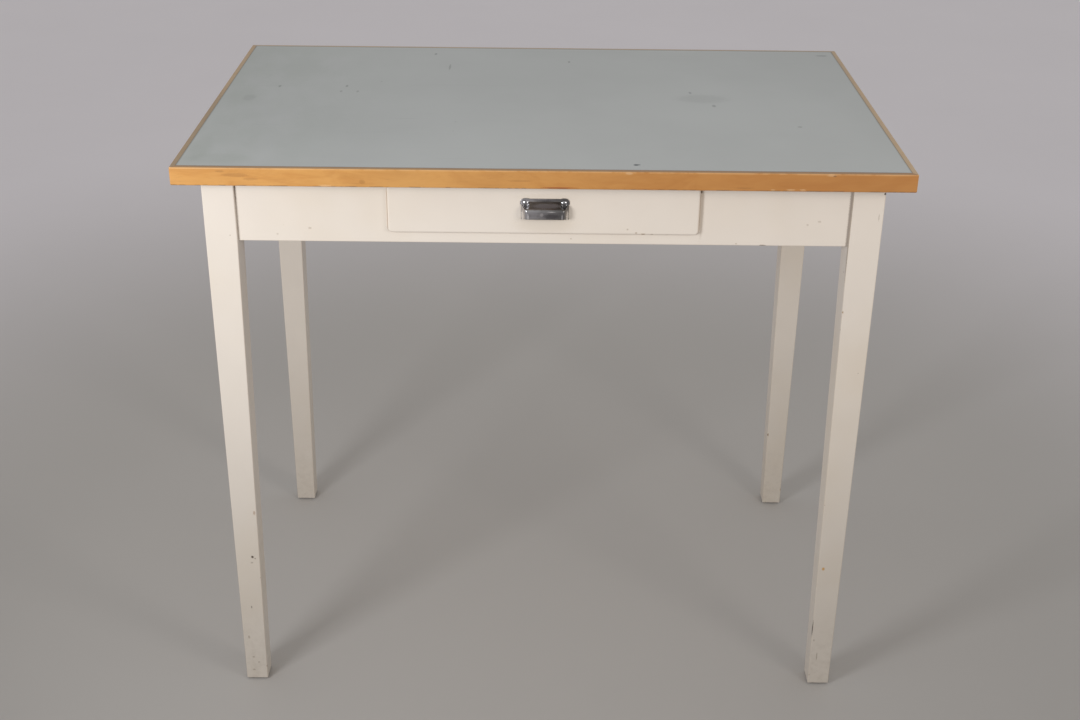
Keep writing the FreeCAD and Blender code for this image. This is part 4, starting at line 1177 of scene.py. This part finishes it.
# ---- studio
@dataclass(frozen=True)
class SoftBox:
    """One upright studio lamp, aimed at the table."""

    name: str
    bearing: float
    height: float
    distance: float
    power: float
    colour: Triple
    wide: float = 0.42
    tall: float = 0.50
    spread: float = 100.0

    def hang(self, target: Vector) -> None:
        """Hang the lamp, aimed at the target."""
        lamp = bpy.data.lights.new(self.name, "AREA")
        lamp.shape = "RECTANGLE"
        lamp.size = self.wide
        lamp.size_y = self.tall
        lamp.spread = math.radians(self.spread)
        lamp.energy = self.power
        lamp.color = self.colour
        holder = bpy.data.objects.new(self.name, lamp)
        bpy.context.scene.collection.objects.link(holder)
        bearing = math.radians(self.bearing)
        place = Vector((math.sin(bearing), -math.cos(bearing), 0.0)) * self.distance
        holder.location = place + Vector((0.0, 0.0, self.height))
        holder.rotation_euler = (target - holder.location).to_track_quat("-Z", "Y").to_euler()


@dataclass(frozen=True)
class Floor(Finish):
    """Pale painted concrete, darker round the table."""

    near: Colour = srgb(192, 188, 184)
    far: Colour = srgb(244, 239, 243)
    near_radius: float = 0.8
    far_radius: float = 2.4

    def shade(self, sheet: Sheet) -> None:
        """Write the floor."""
        cloud = sheet.noise(1.6, detail=4.0, roughness=0.6)
        away = sheet.fade(sheet.length(sheet.position), self.near_radius, self.far_radius)
        colour = sheet.blend(away, self.near, self.far)
        sheet.dress(sheet.tint(colour, 0.97 + cloud * 0.06), 0.75)


@dataclass
class Studio:
    """Floor, soft lamps, world and camera."""

    image_width: float = 1080.0
    focal_pixels: float = 1490.68
    sensor: float = 36.0
    camera_place: Triple = (-0.00758, -1.99087, 1.37177)
    pitch: float = 26.2564
    yaw: float = -0.1780
    roll: float = -0.6548
    floor_side: float = 60.0
    lamps: tuple[SoftBox, ...] = (
        SoftBox("lamp_left", -40.0, 1.00, 1.6, 3.95, (0.955, 0.975, 1.0)),
        SoftBox("lamp_right", 42.0, 1.15, 1.6, 1.27, (1.0, 0.965, 0.92), spread=80.0),
    )
    lamp_target: Triple = (0.0, 0.0, 0.75)
    world_level: float = 0.485
    world_colour: Colour = (0.97, 0.96, 0.95, 1.0)

    def build(self) -> None:
        """Set up the whole studio."""
        self._floor()
        for lamp in self.lamps:
            lamp.hang(Vector(self.lamp_target))
        self._world()
        self._camera()
        bpy.context.scene.view_settings.view_transform = "Standard"

    def _floor(self) -> None:
        """Lay the floor."""
        deselect_all()
        bpy.ops.mesh.primitive_plane_add(size=self.floor_side, location=(0, 0, 0))
        floor = bpy.context.object
        floor.name = "studio_floor"
        floor.data.materials.append(Floor("studio_floor").material())

    def _world(self) -> None:
        """Light the room evenly from all round."""
        world = bpy.data.worlds.new("studio")
        bpy.context.scene.world = world
        world.use_nodes = True
        background = world.node_tree.nodes["Background"]
        background.inputs["Color"].default_value = self.world_colour
        background.inputs["Strength"].default_value = self.world_level

    def _camera(self) -> None:
        """Set the camera at its measured place."""
        camera = bpy.data.cameras.new("camera")
        camera.sensor_width = self.sensor
        camera.lens = self.focal_pixels * self.sensor / self.image_width
        holder = bpy.data.objects.new("camera", camera)
        bpy.context.scene.collection.objects.link(holder)
        turn = (
            Matrix.Rotation(math.radians(self.yaw), 4, "Z")
            @ Matrix.Rotation(math.radians(-self.pitch), 4, "X")
            @ Matrix.Rotation(math.radians(self.roll), 4, "Y")
            @ Matrix.Rotation(math.radians(90.0), 4, "X")
        )
        holder.matrix_world = Matrix.Translation(Vector(self.camera_place)) @ turn
        bpy.context.scene.camera = holder


def main() -> None:
    """Dress the table and set up the studio."""
    logging.basicConfig(level=logging.INFO, format="%(name)s: %(message)s")
    Studio().build()
    Tabletop().dress()
    Underframe().dress()
    Drawer().dress()


if __name__ == "__main__":
    main()
